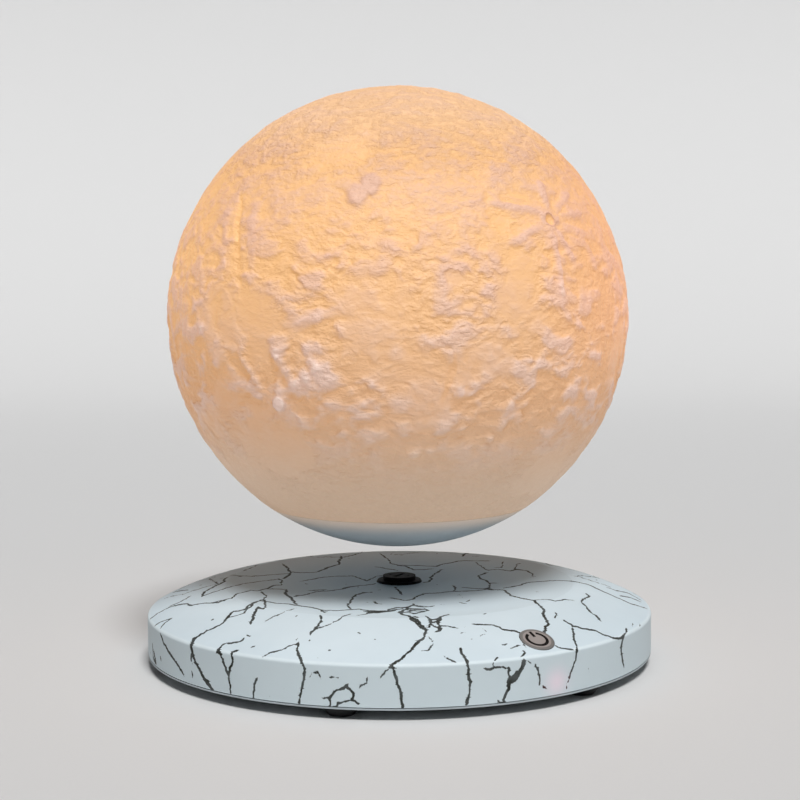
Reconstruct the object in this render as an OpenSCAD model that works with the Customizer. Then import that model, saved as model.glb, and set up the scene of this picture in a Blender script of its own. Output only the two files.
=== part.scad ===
// Levitating moon lamp: a hollow moon with a magnet in its foot hovers above a round marbled base.
// Millimetres. +Z is up and z = 0 is the table under the rubber feet. The origin lies on the axis on
// which the moon turns. -Y is the front, with the touch disc to its right, and the power inlet is at +Y.

/* [Base] */
// Diameter of the round base
base_d = 166; // [165:0.5:168]
// Height of the flat top above the bottom rim
base_h = 21.4; // [21:0.1:24]
// Height of the upright side wall, bottom rim to top outer edge
side_h = 13.1; // [12.5:0.1:14]
// Diameter of the flat top, inside the sloping shoulder
plateau_d = 114.8; // [112:0.2:118]
// How far the shoulder bulges above a straight slope
shoulder_bulge = 1.2; // [0.8:0.1:1.6]
// Radius of the top outer edge
edge_r = 1.4; // [1:0.1:1.8]
// Wall thickness of the top shell
shell_wall = 2.2; // [2:0.1:2.4]
// Thickness of the bottom plate
plate_t = 2; // [1.8:0.1:2.2]

/* [Moon] */
// Outside diameter of the moon
moon_d = 150; // [148:1:152]
// Free air between the flat top and the lowest point of the hovering moon
hover_gap = 12.85; // [10:0.05:20]
// Wall thickness of the lit globe and of its bottom cap
moon_wall = 2; // [1.8:0.1:2.2]
// Diameter of the seam ring between the lit globe and the bottom cap
seam_d = 86; // [85:0.5:87]

/* [Rubber feet] */
// Number of rubber feet
foot_count = 6; // [5:1:6]
// Height of a foot below the base
foot_h = 3.3; // [3:0.1:4]
// Diameter of a foot where it meets the base
foot_top_d = 13; // [11:0.1:13]
// Diameter of the face that a foot stands on
foot_bottom_d = 7.8; // [7:0.1:9]
// Radius of the circle of feet
foot_circle_r = 75.5; // [74:0.1:75.5]
// Azimuth of the first foot, from the front towards the right
foot_first_az = -13; // [-15:1:-11]

/* [Touch disc] */
// Diameter of the touch disc
touch_d = 10.6; // [10:0.1:11]
// Distance of its centre from the lamp's axis
touch_r = 76.3; // [75.5:0.1:76.5]
// Azimuth of its centre, from the front towards the right
touch_az = 32.2; // [30:0.1:34]
// Outer diameter of the power symbol
symbol_d = 7.2; // [6.6:0.1:7.4]
// Line width of the power symbol
symbol_line = 0.95; // [0.7:0.05:1.1]

/* [Centre hub] */
// Diameter of the hub's thin flange
hub_flange_d = 15.1; // [14:0.1:16]
// Diameter of the hub's boss
hub_d = 10.8; // [10:0.1:11]
// Height of the hub above the flat top
hub_h = 2.1; // [1.8:0.1:2.6]

/* [Power inlet] */
// Bore of the barrel socket
jack_bore_d = 6.3; // [6:0.1:6.4]
// Diameter of the socket's centre contact
jack_pin_d = 2; // [1.8:0.1:2.1]
// Height of the socket's axis above the bottom rim
jack_axis_h = 7.1; // [6.9:0.1:7.2]

/* [Hidden] */

$fn = 96;
eps = 0.01;        // lets a cutter run past the face that it opens
glue = 0.3;        // clearance between pieces that are glued or that pass each other

// Finishes
marble_white = [0.80, 0.85, 0.88];
moon_warm = [0.98, 0.80, 0.58];
cap_grey = [0.62, 0.66, 0.70];
rubber_black = [0.05, 0.05, 0.05];
plastic_black = [0.08, 0.08, 0.09];
plastic_white = [0.90, 0.90, 0.88];
taupe = [0.62, 0.56, 0.54];
ink_black = [0.04, 0.03, 0.03];
steel = [0.70, 0.71, 0.72];
nickel = [0.78, 0.77, 0.74];
ferrite = [0.20, 0.20, 0.21];
copper = [0.76, 0.44, 0.26];
board_green = [0.07, 0.30, 0.16];
board_white = [0.92, 0.92, 0.90];
aluminium = [0.82, 0.83, 0.84];
brass = [0.78, 0.62, 0.30];
led_yellow = [0.98, 0.84, 0.30];
led_red = [0.85, 0.10, 0.12];
opal = [0.95, 0.94, 0.90];
wire_red = [0.70, 0.08, 0.08];

// ---- Levels and radii of the base ----
base_r = base_d / 2;
rim_z = foot_h;                         // underside of the bottom plate
plateau_z = rim_z + base_h;
ceiling_z = plateau_z - shell_wall;     // underside of the flat top
plate_top = rim_z + plate_t;
lip_h = 0.5;                            // rim of the bottom plate that shows below the shell
seam_gap = 0.15;
shell_z = rim_z + lip_h + seam_gap;

// The shoulder is one arc from the edge of the flat top down to the top outer edge.
shoulder_in = [plateau_d / 2, plateau_z];
shoulder_out = [base_r, rim_z + side_h];
shoulder_run = shoulder_out - shoulder_in;
shoulder_chord = norm(shoulder_run);
shoulder_R = pow(shoulder_chord, 2) / (8 * shoulder_bulge) + shoulder_bulge / 2;
shoulder_normal = [-shoulder_run[1], shoulder_run[0]] / shoulder_chord;
shoulder_c = (shoulder_in + shoulder_out) / 2 - shoulder_normal * (shoulder_R - shoulder_bulge);

function arc_z(r, inset) = shoulder_c[1] + sqrt(pow(shoulder_R - inset, 2) - pow(r - shoulder_c[0], 2));
function arc_r(z, inset) = shoulder_c[0] + sqrt(pow(shoulder_R - inset, 2) - pow(z - shoulder_c[1], 2));

// Screws that hold the bottom plate
screw_count = 6;
screw_circle_r = 73.5;
screw_first_az = 17;
boss_d = 7;
pilot_d = 2.4;
shank_d = 2.2;
cup_d = 9.4;
cup_h = 2;                              // height of a screw cup above the bottom plate
cup_bore_d = 6;
screw_head_d = 5.4;
screw_head_h = 1.7;
screw_seat_z = plate_top + cup_h - 1.2;
screw_l = 7.5;
foot_recess = 0.3;

// Centre hub
hub_flange_h = 0.7;
hub_chamfer = 0.4;
hub_stud_d = 5;
hub_stud_l = 7;
hub_slot = [6.2, 1.5, 1.1];
hub_slot_turn = 60;
hub_hole_d = 1;
hub_hole_r = 3.1;
hub_hole_turn = -16;
nut_af = 8;
nut_h = 3.6;

// Touch disc, in a frame whose +Z is the shoulder's normal and whose +Y points to the hub
touch_z = arc_z(touch_r, 0);
touch_tilt = atan((touch_r - shoulder_c[0]) / (touch_z - shoulder_c[1]));
touch_proud = 0.12;
touch_flange_d = 13.4;
touch_flange_out = 4.2;                  // the flange is cut flat there, clear of the side wall
touch_flange_top = -shell_wall - 0.35;
touch_flange_h = 0.9;
symbol_depth = 0.25;
symbol_gap = 26;                        // half the angle of the ring's opening
spring_d = 5;
spring_wire = 0.45;
spring_turns = 4;
spring_top = touch_flange_top - touch_flange_h;
spring_l = 3.4;
touch_board_t = 1;
touch_board_top = spring_top - spring_l;
touch_board_w = 12;
touch_board_out = 4;                    // how far the board runs past the disc's centre, outwards
touch_board_in = 14;                    // and inwards
touch_post_x = 4.2;                     // posts under the shoulder that hold the board
touch_post_y = 12;
touch_pin_d = 1.4;
led_z = rim_z + 4.5;
led_r = 78;
led_az = 33.8;
led_d = 3;
led_body_l = 3;
led_leg = 0.5;
led_leg_pitch = 2.54;
led_leg_r = led_r - led_body_l - 1.6;   // radius at which the legs rise to the touch board
led_leg_top = touch_z + (touch_r - led_leg_r - led_leg) * tan(touch_tilt)
              - (touch_board_t - touch_board_top) / cos(touch_tilt);

// Levitation module
yoke_r = 50;
yoke_t = 1.2;
yoke_top = plate_top + yoke_t;
magnet_ring_in = 34;
magnet_ring_t = 10;
magnet_ring_top = yoke_top + magnet_ring_t;
coil_offset = 14.5;
bobbin_d = 19;
bobbin_h = 11.5;
bobbin_flange = 1;
winding_d = 17.4;
core_d = 5;
hall_board_r = 10;
hall_board_t = 1.2;
hall_board_z = yoke_top + 4.5;
carrier_t = 1;
carrier_top = magnet_ring_top + carrier_t;
carrier_r = 52.2;
sheet_t = 0.6;
sheet_top = carrier_top + sheet_t;
tx_in = 30.5;
tx_out = 46;
tx_t = 2.4;
tx_top = sheet_top + tx_t;

// Control board, an arc round the back of the module
board_in = 54.5;
board_out = 68;
board_half_angle = 78;
board_t = 1.6;
board_z = plate_top + 1;
board_top = board_z + board_t;
board_post_az = [110, 150, 210, 250];
board_post_r = 65;
tongue_w = 15;
tongue_end = 76.5;

// Barrel socket
jack_axis_z = rim_z + jack_axis_h;
jack_w = 9;
jack_h = 8;
jack_back = 69.5;
jack_front = 79.6;
jack_nose_d = 8;
jack_mouth = base_r - 0.6;
jack_depth = 9.5;
jack_floor = jack_mouth - jack_depth;
jack_pin_l = 8.2;
jack_tip_l = 0.5;

// ---- Levels and radii of the moon, whose own heights are counted from its centre ----
moon_r = moon_d / 2;
moon_z = plateau_z + hover_gap + moon_r;
seam_z = -sqrt(pow(moon_r, 2) - pow(seam_d / 2, 2));
moon_in_r = moon_r - moon_wall;
seam_in_r = sqrt(pow(moon_in_r, 2) - pow(seam_z, 2));
spigot_r = seam_in_r - glue;
spigot_wall = 1.8;
spigot_top = seam_z + 4;
tray_screw_count = 4;
tray_screw_r = spigot_r - 4;
tray_boss_d = 5;
magnet_r = 26;
magnet_t = 10;
magnet_z = seam_z - 4.25;
pocket_r = magnet_r + glue;
tray_r = pocket_r + 1.5;
tray_floor_t = 1.2;
tray_floor_z = magnet_z - glue - tray_floor_t;
tray_flange_top = spigot_top + 1.5;
retainer_t = 1.2;
retainer_z = magnet_z + magnet_t + glue;
retainer_top = retainer_z + retainer_t;
rx_in = tray_r + 0.5;
rx_out = rx_in + 4.1;
rx_t = 2.2;
rx_top = seam_z - 0.9;
rx_ledge_t = 1;
rx_lead_r = rx_out + 2;
rx_lead_d = 1;
rx_board_r = 24;
rx_post_h = 4;
rx_post_r = 20;
rx_board_z = retainer_top + rx_post_h;
rx_board_top = rx_board_z + board_t;
post_r = 5;
post_bore_r = 3.2;
post_flange_r = 9;
post_flange_t = 1.5;
led_board_r = 21;
led_board_z = seam_z + 39.4;
led_board_top = led_board_z + board_t;
led_count = 12;
led_ring_r = 13;
dome_r = 20;
dome_wall = 1.5;

// ---- Helpers ----
function unit(v) = v / norm(v);

// Places children at a radius and an azimuth counted from the front towards the right.
module at_polar(r, az, z = 0) {
    rotate([0, 0, az]) translate([0, -r, z]) children();
}

// Repeats children evenly round the axis.
module around(count, r, first_az, z = 0) {
    for (i = [0 : count - 1]) at_polar(r, first_az + i * 360 / count, z) children();
}

module tube(r_out, r_in, h) {
    difference() {
        cylinder(r = r_out, h = h);
        translate([0, 0, -eps]) cylinder(r = r_in, h = h + 2 * eps);
    }
}

// A box centred in X and Y, standing on z = 0
module slab(size) {
    translate([-size[0] / 2, -size[1] / 2, 0]) cube(size);
}

// Outline of the base's solid of revolution, inset by a wall, with a rounded top outer edge.
module base_outline(inset, round_r) {
    r = base_r - inset;
    top = plateau_z - inset;
    round_x = r - round_r;
    round_z = shoulder_c[1] + sqrt(pow(shoulder_R - inset - round_r, 2) - pow(round_x - shoulder_c[0], 2));
    touch_point = shoulder_c + unit([round_x, round_z] - shoulder_c) * (shoulder_R - inset);
    translate([0, rim_z]) square([arc_r(top, inset), top - rim_z]);
    translate([0, rim_z]) square([r, round_z - rim_z]);
    translate([round_x, round_z]) circle(r = round_r);
    intersection() {
        translate([shoulder_c[0], shoulder_c[1]]) circle(r = shoulder_R - inset, $fn = 720);
        translate([0, rim_z]) square([touch_point[0], top - rim_z]);
    }
}

module on_shoulder() {
    at_polar(touch_r, touch_az, touch_z) rotate([touch_tilt, 0, 0]) children();
}

// Pan-head screw pointing up, with its seat at z = 0 and a cross recess in the head's underside.
module screw_up(head_d, head_h, shank, length) {
    cross = head_d * 0.55;
    cross_w = head_d * 0.13;
    cylinder(d = shank, h = length, $fn = 24);
    difference() {
        translate([0, 0, -head_h]) cylinder(d1 = head_d * 0.8, d2 = head_d, h = head_h, $fn = 32);
        translate([0, 0, -head_h - eps]) slab([cross, cross_w, head_h * 0.5]);
        translate([0, 0, -head_h - eps]) slab([cross_w, cross, head_h * 0.5]);
    }
}

module screw_down(head_d, head_h, shank, length) {
    mirror([0, 0, 1]) screw_up(head_d, head_h, shank, length);
}

// Round tube along a list of points. No stretch may run along the reference direction.
sweep_ref = [0.37, 0.59, 0.71];
function sweep_dir(path, i) = unit(path[min(i + 1, len(path) - 1)] - path[max(i - 1, 0)]);
function sweep_ring(path, i, r, sides) =
    let (t = sweep_dir(path, i), u = unit(cross(t, sweep_ref)), v = cross(t, u))
    [for (k = [0 : sides - 1]) path[i] + r * (cos(360 * k / sides) * u + sin(360 * k / sides) * v)];

module sweep(path, r, sides) {
    n = len(path);
    points = [for (i = [0 : n - 1]) each sweep_ring(path, i, r, sides)];
    walls = [
        for (i = [0 : n - 2], k = [0 : sides - 1])
            let (a = i * sides + k, b = i * sides + (k + 1) % sides)
            each [[a, a + sides, b + sides], [a, b + sides, b]]
    ];
    start = [for (k = [1 : sides - 2]) [0, k, k + 1]];
    last = (n - 1) * sides;
    end = [for (k = [1 : sides - 2]) [last, last + k + 1, last + k]];
    polyhedron(points = points, faces = concat(walls, start, end));
}

// ---- Base: case ----
module base_top_shell() {
    color(marble_white) {
        difference() {
            rotate_extrude() difference() {
                base_outline(0, edge_r);
                base_outline(shell_wall, edge_r / 4);
                translate([0, rim_z - 1]) square([base_r + 1, shell_z - rim_z + 1]);
            }
            on_shoulder() translate([0, 0, -2 * shell_wall]) cylinder(d = touch_d + 0.3, h = 4 * shell_wall);
            translate([0, jack_front, jack_axis_z]) rotate([-90, 0, 0])
                cylinder(d = jack_nose_d + 0.4, h = base_r);
            translate([0, 0, ceiling_z - 1]) cylinder(d = hub_stud_d + 0.3, h = shell_wall + 2);
        }
        intersection() {
            around(screw_count, screw_circle_r, screw_first_az, plate_top + cup_h)
                difference() {
                    cylinder(d = boss_d, h = plateau_z, $fn = 32);
                    translate([0, 0, -eps]) cylinder(d = pilot_d, h = screw_l, $fn = 24);
                }
            rotate_extrude() base_outline(shell_wall / 2, edge_r / 4);
        }
        touch_posts();
    }
}

// Posts under the shoulder, each with a pin through the touch board and a head that holds it.
module touch_posts() {
    each_touch_post() {
        translate([0, 0, touch_board_top]) cylinder(d = 2.6, h = -touch_board_top - shell_wall / 2, $fn = 32);
        translate([0, 0, touch_board_top - touch_board_t - eps])
            cylinder(d = touch_pin_d, h = touch_board_t + 2 * eps, $fn = 32);
        translate([0, 0, touch_board_top - touch_board_t - 0.6]) cylinder(d = 2.4, h = 0.6, $fn = 32);
    }
}

module base_bottom_plate() {
    color(marble_white)
        difference() {
            union() {
                translate([0, 0, rim_z]) cylinder(r = base_r - 0.05, h = lip_h);
                translate([0, 0, rim_z]) cylinder(r = base_r - shell_wall - glue, h = plate_t);
                around(screw_count, screw_circle_r, screw_first_az, rim_z)
                    cylinder(d = cup_d, h = plate_t + cup_h, $fn = 32);
                translate([0, 0, rim_z]) tube(yoke_r + 1.5, yoke_r + 0.2, plate_t + 1);
                for (az = board_post_az) at_polar(board_post_r, az, rim_z)
                    cylinder(d = 5, h = board_z - rim_z, $fn = 32);
            }
            around(screw_count, screw_circle_r, screw_first_az, rim_z - eps) {
                cylinder(d = cup_bore_d, h = screw_seat_z - rim_z + eps, $fn = 32);
                cylinder(d = pilot_d + 0.4, h = plate_t + cup_h + 1, $fn = 24);
            }
            around(foot_count, foot_circle_r, foot_first_az, rim_z - eps)
                cylinder(d = foot_top_d + 0.4, h = foot_recess + eps, $fn = 48);
            for (az = board_post_az) at_polar(board_post_r, az, plate_top - 1)
                cylinder(d = 1.6, h = 5, $fn = 24);
        }
}

module rubber_feet() {
    color(rubber_black)
        around(foot_count, foot_circle_r, foot_first_az) {
            cylinder(d1 = foot_bottom_d, d2 = foot_top_d, h = foot_h, $fn = 48);
            translate([0, 0, foot_h]) cylinder(d = foot_top_d, h = foot_recess, $fn = 48);
        }
}

module bottom_screws() {
    color(steel)
        around(screw_count, screw_circle_r, screw_first_az, screw_seat_z)
            screw_up(screw_head_d, screw_head_h, shank_d, screw_l);
}

// ---- Base: centre hub ----
module centre_hub() {
    color(plastic_black)
        translate([0, 0, plateau_z])
            difference() {
                union() {
                    cylinder(d1 = hub_flange_d, d2 = hub_flange_d - 2 * hub_chamfer, h = hub_flange_h);
                    cylinder(d = hub_d, h = hub_h);
                    translate([0, 0, -hub_stud_l]) cylinder(d = hub_stud_d, h = hub_stud_l + eps, $fn = 48);
                }
                rotate([0, 0, hub_slot_turn]) translate([0, 0, hub_h - hub_slot[2]])
                    slab(hub_slot + [0, 0, 1]);
                for (side = [-1, 1]) rotate([0, 0, hub_hole_turn])
                    translate([side * hub_hole_r, 0, hub_h - 1.2]) cylinder(d = hub_hole_d, h = 2, $fn = 24);
            }
}

module hub_nut() {
    color(steel)
        translate([0, 0, ceiling_z - nut_h])
            difference() {
                cylinder(d = nut_af / cos(30), h = nut_h, $fn = 6);
                translate([0, 0, -eps]) cylinder(d = hub_stud_d + 0.1, h = nut_h + 2 * eps, $fn = 48);
            }
}

// ---- Base: touch switch and its indicator ----
module symbol_shape() {
    difference() {
        circle(d = symbol_d, $fn = 64);
        circle(d = symbol_d - 2 * symbol_line, $fn = 64);
        polygon([[0, 0], [-symbol_d * sin(symbol_gap), symbol_d * cos(symbol_gap)],
                 [symbol_d * sin(symbol_gap), symbol_d * cos(symbol_gap)]]);
    }
    translate([-symbol_line / 2, symbol_d * 0.17]) square([symbol_line, symbol_d * 0.38]);
}

module touch_disc() {
    color(taupe)
        on_shoulder() difference() {
            union() {
                translate([0, 0, touch_flange_top]) cylinder(d = touch_d, h = touch_proud - touch_flange_top);
                translate([0, 0, spring_top]) intersection() {
                    cylinder(d = touch_flange_d, h = touch_flange_h);
                    translate([-touch_flange_d / 2, -touch_flange_out, 0]) cube(touch_flange_d);
                }
            }
            translate([0, 0, touch_proud - symbol_depth]) linear_extrude(1) symbol_shape();
        }
}

module touch_symbol() {
    color(ink_black)
        on_shoulder() translate([0, 0, touch_proud - symbol_depth])
            linear_extrude(symbol_depth) symbol_shape();
}

module touch_spring() {
    steps = spring_turns * 12;
    rise = spring_l - spring_wire;
    path = [
        for (i = [0 : steps])
            let (a = 360 * spring_turns * i / steps)
            [cos(a) * (spring_d - spring_wire) / 2, sin(a) * (spring_d - spring_wire) / 2,
             touch_board_top + spring_wire / 2 + rise * i / steps]
    ];
    color(nickel) on_shoulder() sweep(path, spring_wire / 2, 6);
}

module each_touch_post() {
    on_shoulder() for (side = [-1, 1]) translate([side * touch_post_x, touch_post_y, 0]) children();
}

module touch_board() {
    length = touch_board_in + touch_board_out;
    color(board_green) difference() {
        on_shoulder() translate([-touch_board_w / 2, -touch_board_out, touch_board_top - touch_board_t])
            cube([touch_board_w, length, touch_board_t]);
        each_touch_post() translate([0, 0, touch_board_top - 2 * touch_board_t])
            cylinder(d = touch_pin_d + 0.2, h = 3 * touch_board_t, $fn = 24);
    }
}

module touch_chips() {
    color(plastic_black)
        on_shoulder() {
            translate([0, 6, touch_board_top]) slab([4.4, 3.9, 1.4]);
            for (x = [-4, 4]) translate([x, 7, touch_board_top]) slab([0.8, 1.6, 0.7]);
        }
}

// Lamp behind the side wall. Its two legs reach up to the touch board.
module indicator_led() {
    foot_l = led_r - led_body_l - led_leg_r;
    color(led_red)
        rotate([0, 0, led_az]) {
            translate([0, -led_r, led_z]) {
                sphere(d = led_d, $fn = 32);
                translate([0, led_body_l, 0]) rotate([90, 0, 0]) {
                    cylinder(d = led_d, h = led_body_l, $fn = 32);
                    cylinder(d = led_d + 0.8, h = 1, $fn = 32);
                }
            }
            for (side = [-1, 1]) translate([side * led_leg_pitch / 2, 0, led_z]) {
                translate([0, -led_leg_r - foot_l / 2, 0]) slab([led_leg, foot_l + led_leg, led_leg]);
                translate([0, -led_leg_r, 0]) slab([led_leg, led_leg, led_leg_top - led_z]);
            }
        }
}

// ---- Base: levitation and power module ----
module yoke_plate() {
    color(steel) translate([0, 0, plate_top]) cylinder(r = yoke_r, h = yoke_t);
}

module ring_magnet() {
    color(ferrite) translate([0, 0, yoke_top]) tube(yoke_r, magnet_ring_in, magnet_ring_t);
}

module each_coil() {
    for (x = [-1, 1], y = [-1, 1]) translate([x * coil_offset, y * coil_offset, yoke_top]) children();
}

module coil_bobbins() {
    core_hole = core_d / 2 + 0.1;
    color(plastic_black)
        each_coil() {
            tube(bobbin_d / 2, core_hole, bobbin_flange);
            tube(core_d / 2 + 1, core_hole, bobbin_h);
            translate([0, 0, bobbin_h - bobbin_flange]) tube(bobbin_d / 2, core_hole, bobbin_flange);
        }
}

module coil_windings() {
    color(copper)
        each_coil() translate([0, 0, bobbin_flange + 0.1])
            tube(winding_d / 2, core_d / 2 + 1.1, bobbin_h - 2 * bobbin_flange - 0.2);
}

module coil_cores() {
    color(steel) each_coil() cylinder(d = core_d, h = bobbin_h, $fn = 32);
}

module hall_spacers() {
    color(plastic_white) around(3, 6.5, 0, yoke_top) cylinder(d = 3, h = hall_board_z - yoke_top, $fn = 24);
}

module hall_board() {
    color(board_green) translate([0, 0, hall_board_z]) cylinder(r = hall_board_r - 0.8, h = hall_board_t);
}

module hall_sensors() {
    color(plastic_black) around(3, 4, 0, hall_board_z + hall_board_t) slab([4.1, 1.5, 3]);
}

// Ring that centres the magnet and carries the transmitter coil
module coil_carrier() {
    color(plastic_white) {
        translate([0, 0, magnet_ring_top]) tube(carrier_r, tx_in - 0.3, carrier_t);
        around(6, carrier_r - 1, 0, plate_top + 1.2) slab([8, 1.2, carrier_top - plate_top - 1.2]);
    }
}

module ferrite_sheet() {
    color(ferrite) translate([0, 0, carrier_top]) tube(tx_out + 2, tx_in - 0.3, sheet_t);
}

module transmitter_coil() {
    color(copper) translate([0, 0, sheet_top]) tube(tx_out, tx_in, tx_t);
}

module board_sector() {
    reach = 2 * base_r;
    intersection() {
        difference() {
            circle(r = board_out);
            circle(r = board_in);
        }
        polygon([[0, 0], [reach * sin(board_half_angle), reach * cos(board_half_angle)], [reach, reach],
                 [-reach, reach], [-reach * sin(board_half_angle), reach * cos(board_half_angle)]]);
    }
}

module control_board() {
    color(board_green)
        translate([0, 0, board_z]) linear_extrude(board_t) difference() {
            union() {
                board_sector();
                translate([-tongue_w / 2, board_out - 3]) square([tongue_w, tongue_end - board_out + 3]);
            }
            translate([-jack_w / 2 - 0.2, jack_back - 0.2]) square([jack_w + 0.4, base_r]);
            for (az = board_post_az) rotate([0, 0, az]) translate([0, -board_post_r])
                circle(d = 2.4, $fn = 24);
        }
}

module control_chips() {
    color(plastic_black) {
        for (az = [125, 138, 222, 235]) at_polar(61, az, board_top) slab([5, 6, 1.6]);
        at_polar(60.5, 166, board_top) slab([9, 7, 1.4]);
        at_polar(60.5, 194, board_top) slab([9, 7, 1.4]);
        for (az = [117 : 5 : 127]) at_polar(56.6, az, board_top) slab([2, 1.2, 0.8]);
        for (az = [233 : 5 : 243]) at_polar(56.6, az, board_top) slab([2, 1.2, 0.8]);
    }
}

module power_capacitors() {
    color(aluminium)
        for (az = [174, 186]) at_polar(63, az, board_top) {
            slab([6.4, 6.4, 1]);
            cylinder(d = 6.2, h = 7.6, $fn = 48);
        }
}

module power_inductors() {
    color(ferrite)
        for (az = [104, 256]) at_polar(61, az, board_top) {
            cylinder(d = 9, h = 1.2, $fn = 48);
            cylinder(d = 6, h = 5.4, $fn = 48);
            translate([0, 0, 4.2]) cylinder(d = 9, h = 1.2, $fn = 48);
        }
}

module board_screws() {
    color(steel)
        for (az = board_post_az) at_polar(board_post_r, az, board_top) screw_down(3.6, 1.2, 1.5, 3.4);
}

// ---- Base: power inlet ----
module dc_jack() {
    wing_h = 1;
    color(plastic_black)
        difference() {
            union() {
                translate([-jack_w / 2, jack_back, jack_axis_z - jack_h / 2])
                    cube([jack_w, jack_front - jack_back, jack_h]);
                translate([-tongue_w / 2, jack_back + 0.5, board_top]) cube([tongue_w, 5.5, wing_h]);
                translate([0, jack_front - 1, jack_axis_z]) rotate([-90, 0, 0])
                    cylinder(d = jack_nose_d, h = jack_mouth - jack_front + 1);
            }
            translate([0, jack_floor, jack_axis_z]) rotate([-90, 0, 0]) cylinder(d = jack_bore_d, h = base_r);
        }
}

module dc_jack_pin() {
    color(nickel)
        translate([0, jack_floor, jack_axis_z]) rotate([-90, 0, 0]) {
            cylinder(d = jack_pin_d, h = jack_pin_l, $fn = 48);
            translate([0, 0, jack_pin_l])
                cylinder(d1 = jack_pin_d, d2 = jack_pin_d * 0.5, h = jack_tip_l, $fn = 48);
        }
}

// Twin leads of the four drive coils, over the transmitter coil and down to the control board.
module drive_leads() {
    wire_r = 0.55;
    over_z = tx_top + 0.8;
    coil_top = yoke_top + bobbin_h;
    pad_z = board_top;
    back = [[20, 20, coil_top], [20, 20, coil_top + 1.2], [20.6, 20.4, over_z - 0.7], [22, 21.5, over_z],
            [30, 28, over_z], [36, 35, over_z], [38.6, 37.8, over_z - 1.2], [39.6, 39.2, 12], [39.6, 39.2, pad_z]];
    front = [[20, -13, coil_top], [20, -13, coil_top + 1.2], [20.8, -12.4, over_z - 0.7], [22.5, -11, over_z],
             [34, 2, over_z], [46, 13, over_z], [50.2, 18, over_z - 1.2], [52.4, 20.2, 12], [52.4, 20.2, pad_z]];
    color(wire_red)
        for (side = [-1, 1], route = [back, front], pair = [0, 1.4])
            sweep([for (p = route) [side * (p[0] - pair * 0.7), p[1] + pair, p[2]]], wire_r, 8);
}

// ---- Moon: shell ----
module in_moon() {
    translate([0, 0, moon_z]) children();
}

module moon_half(r, wall, from_z, to_z) {
    rotate_extrude($fn = 180) intersection() {
        difference() {
            circle(r = r, $fn = 360);
            circle(r = r - wall, $fn = 360);
        }
        translate([0, from_z]) square([r + 1, to_z - from_z]);
    }
}

module moon_globe() {
    color(moon_warm) in_moon() moon_half(moon_r, moon_wall, seam_z, moon_r + 1);
}

module moon_bottom_cap() {
    color(cap_grey)
        in_moon() {
            moon_half(moon_r, moon_wall, -moon_r - 1, seam_z - glue);
            difference() {
                intersection() {
                    union() {
                        translate([0, 0, -moon_r]) tube(spigot_r, spigot_r - spigot_wall, moon_r + spigot_top);
                        around(tray_screw_count, tray_screw_r, 45, -moon_r)
                            cylinder(d = tray_boss_d, h = moon_r + spigot_top, $fn = 32);
                    }
                    sphere(r = moon_r - moon_wall / 2, $fn = 180);
                }
                around(tray_screw_count, tray_screw_r, 45, spigot_top - 5)
                    cylinder(d = 2, h = 6, $fn = 24);
            }
        }
}

// ---- Moon: hovering magnet and its holder ----
module float_magnet() {
    color(nickel) in_moon() translate([0, 0, magnet_z]) cylinder(r = magnet_r, h = magnet_t);
}

module lead_hole() {
    translate([rx_lead_r, 0, 0]) cylinder(d = 4, h = 12, center = true, $fn = 32);
}

module magnet_tray() {
    color(plastic_white)
        in_moon() difference() {
            union() {
                translate([0, 0, tray_floor_z]) cylinder(r = tray_r, h = tray_flange_top - tray_floor_z);
                translate([0, 0, spigot_top]) cylinder(r = spigot_r - 0.4, h = tray_flange_top - spigot_top);
                translate([0, 0, rx_top]) cylinder(r = rx_out, h = rx_ledge_t);
            }
            translate([0, 0, magnet_z - glue]) cylinder(r = pocket_r, h = magnet_t + 10);
            around(tray_screw_count, tray_screw_r, 45, spigot_top - 1) cylinder(d = 2.8, h = 4, $fn = 24);
            translate([0, 0, spigot_top]) lead_hole();
        }
}

module magnet_retainer() {
    tab_z = tray_flange_top;
    color(plastic_white)
        in_moon() difference() {
            union() {
                translate([0, 0, retainer_z]) cylinder(r = tray_r, h = retainer_t);
                translate([0, 0, tab_z]) cylinder(r = spigot_r - 0.4, h = retainer_top - tab_z);
            }
            translate([0, 0, tab_z - eps]) cylinder(r = pocket_r, h = retainer_z - tab_z + eps);
            translate([0, 0, retainer_z - 1]) cylinder(r = 8, h = 4);
            around(tray_screw_count, tray_screw_r, 45, tab_z - 1) cylinder(d = 2.8, h = 6, $fn = 24);
            translate([0, 0, tab_z]) lead_hole();
        }
}

module tray_screws() {
    color(steel)
        in_moon() around(tray_screw_count, tray_screw_r, 45, retainer_top) screw_down(4.6, 1.6, 1.9, 6.6);
}

// ---- Moon: power receiver ----
module receiver_coil() {
    color(copper) in_moon() translate([0, 0, rx_top - rx_t]) tube(rx_out, rx_in, rx_t);
}

module receiver_leads() {
    start_z = rx_top - rx_t / 2;
    route = [[rx_out, 0, start_z], [rx_out + 1.4, 0, start_z + 0.2], [rx_lead_r, 0, start_z + 1.5],
             [rx_lead_r, 0, retainer_top + 1], [rx_lead_r - 1, 0, rx_board_z + 1.8],
             [rx_lead_r - 3, 0, rx_board_top + 1.4], [rx_board_r, 0, rx_board_top + 1.6],
             [rx_board_r - 2, 0, rx_board_top + 1.2], [rx_board_r - 2.6, 0, rx_board_top + 0.6],
             [rx_board_r - 2.6, 0, rx_board_top]];
    color(copper)
        in_moon() for (y = [-0.7, 0.7]) sweep([for (p = route) p + [0, y, 0]], rx_lead_d / 2, 8);
}

module board_standoffs() {
    color(brass)
        in_moon() around(4, rx_post_r, 45, retainer_top) difference() {
            cylinder(d = 4.6, h = rx_post_h, $fn = 6);
            translate([0, 0, 1]) cylinder(d = 2.1, h = rx_post_h, $fn = 24);
        }
}

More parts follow.
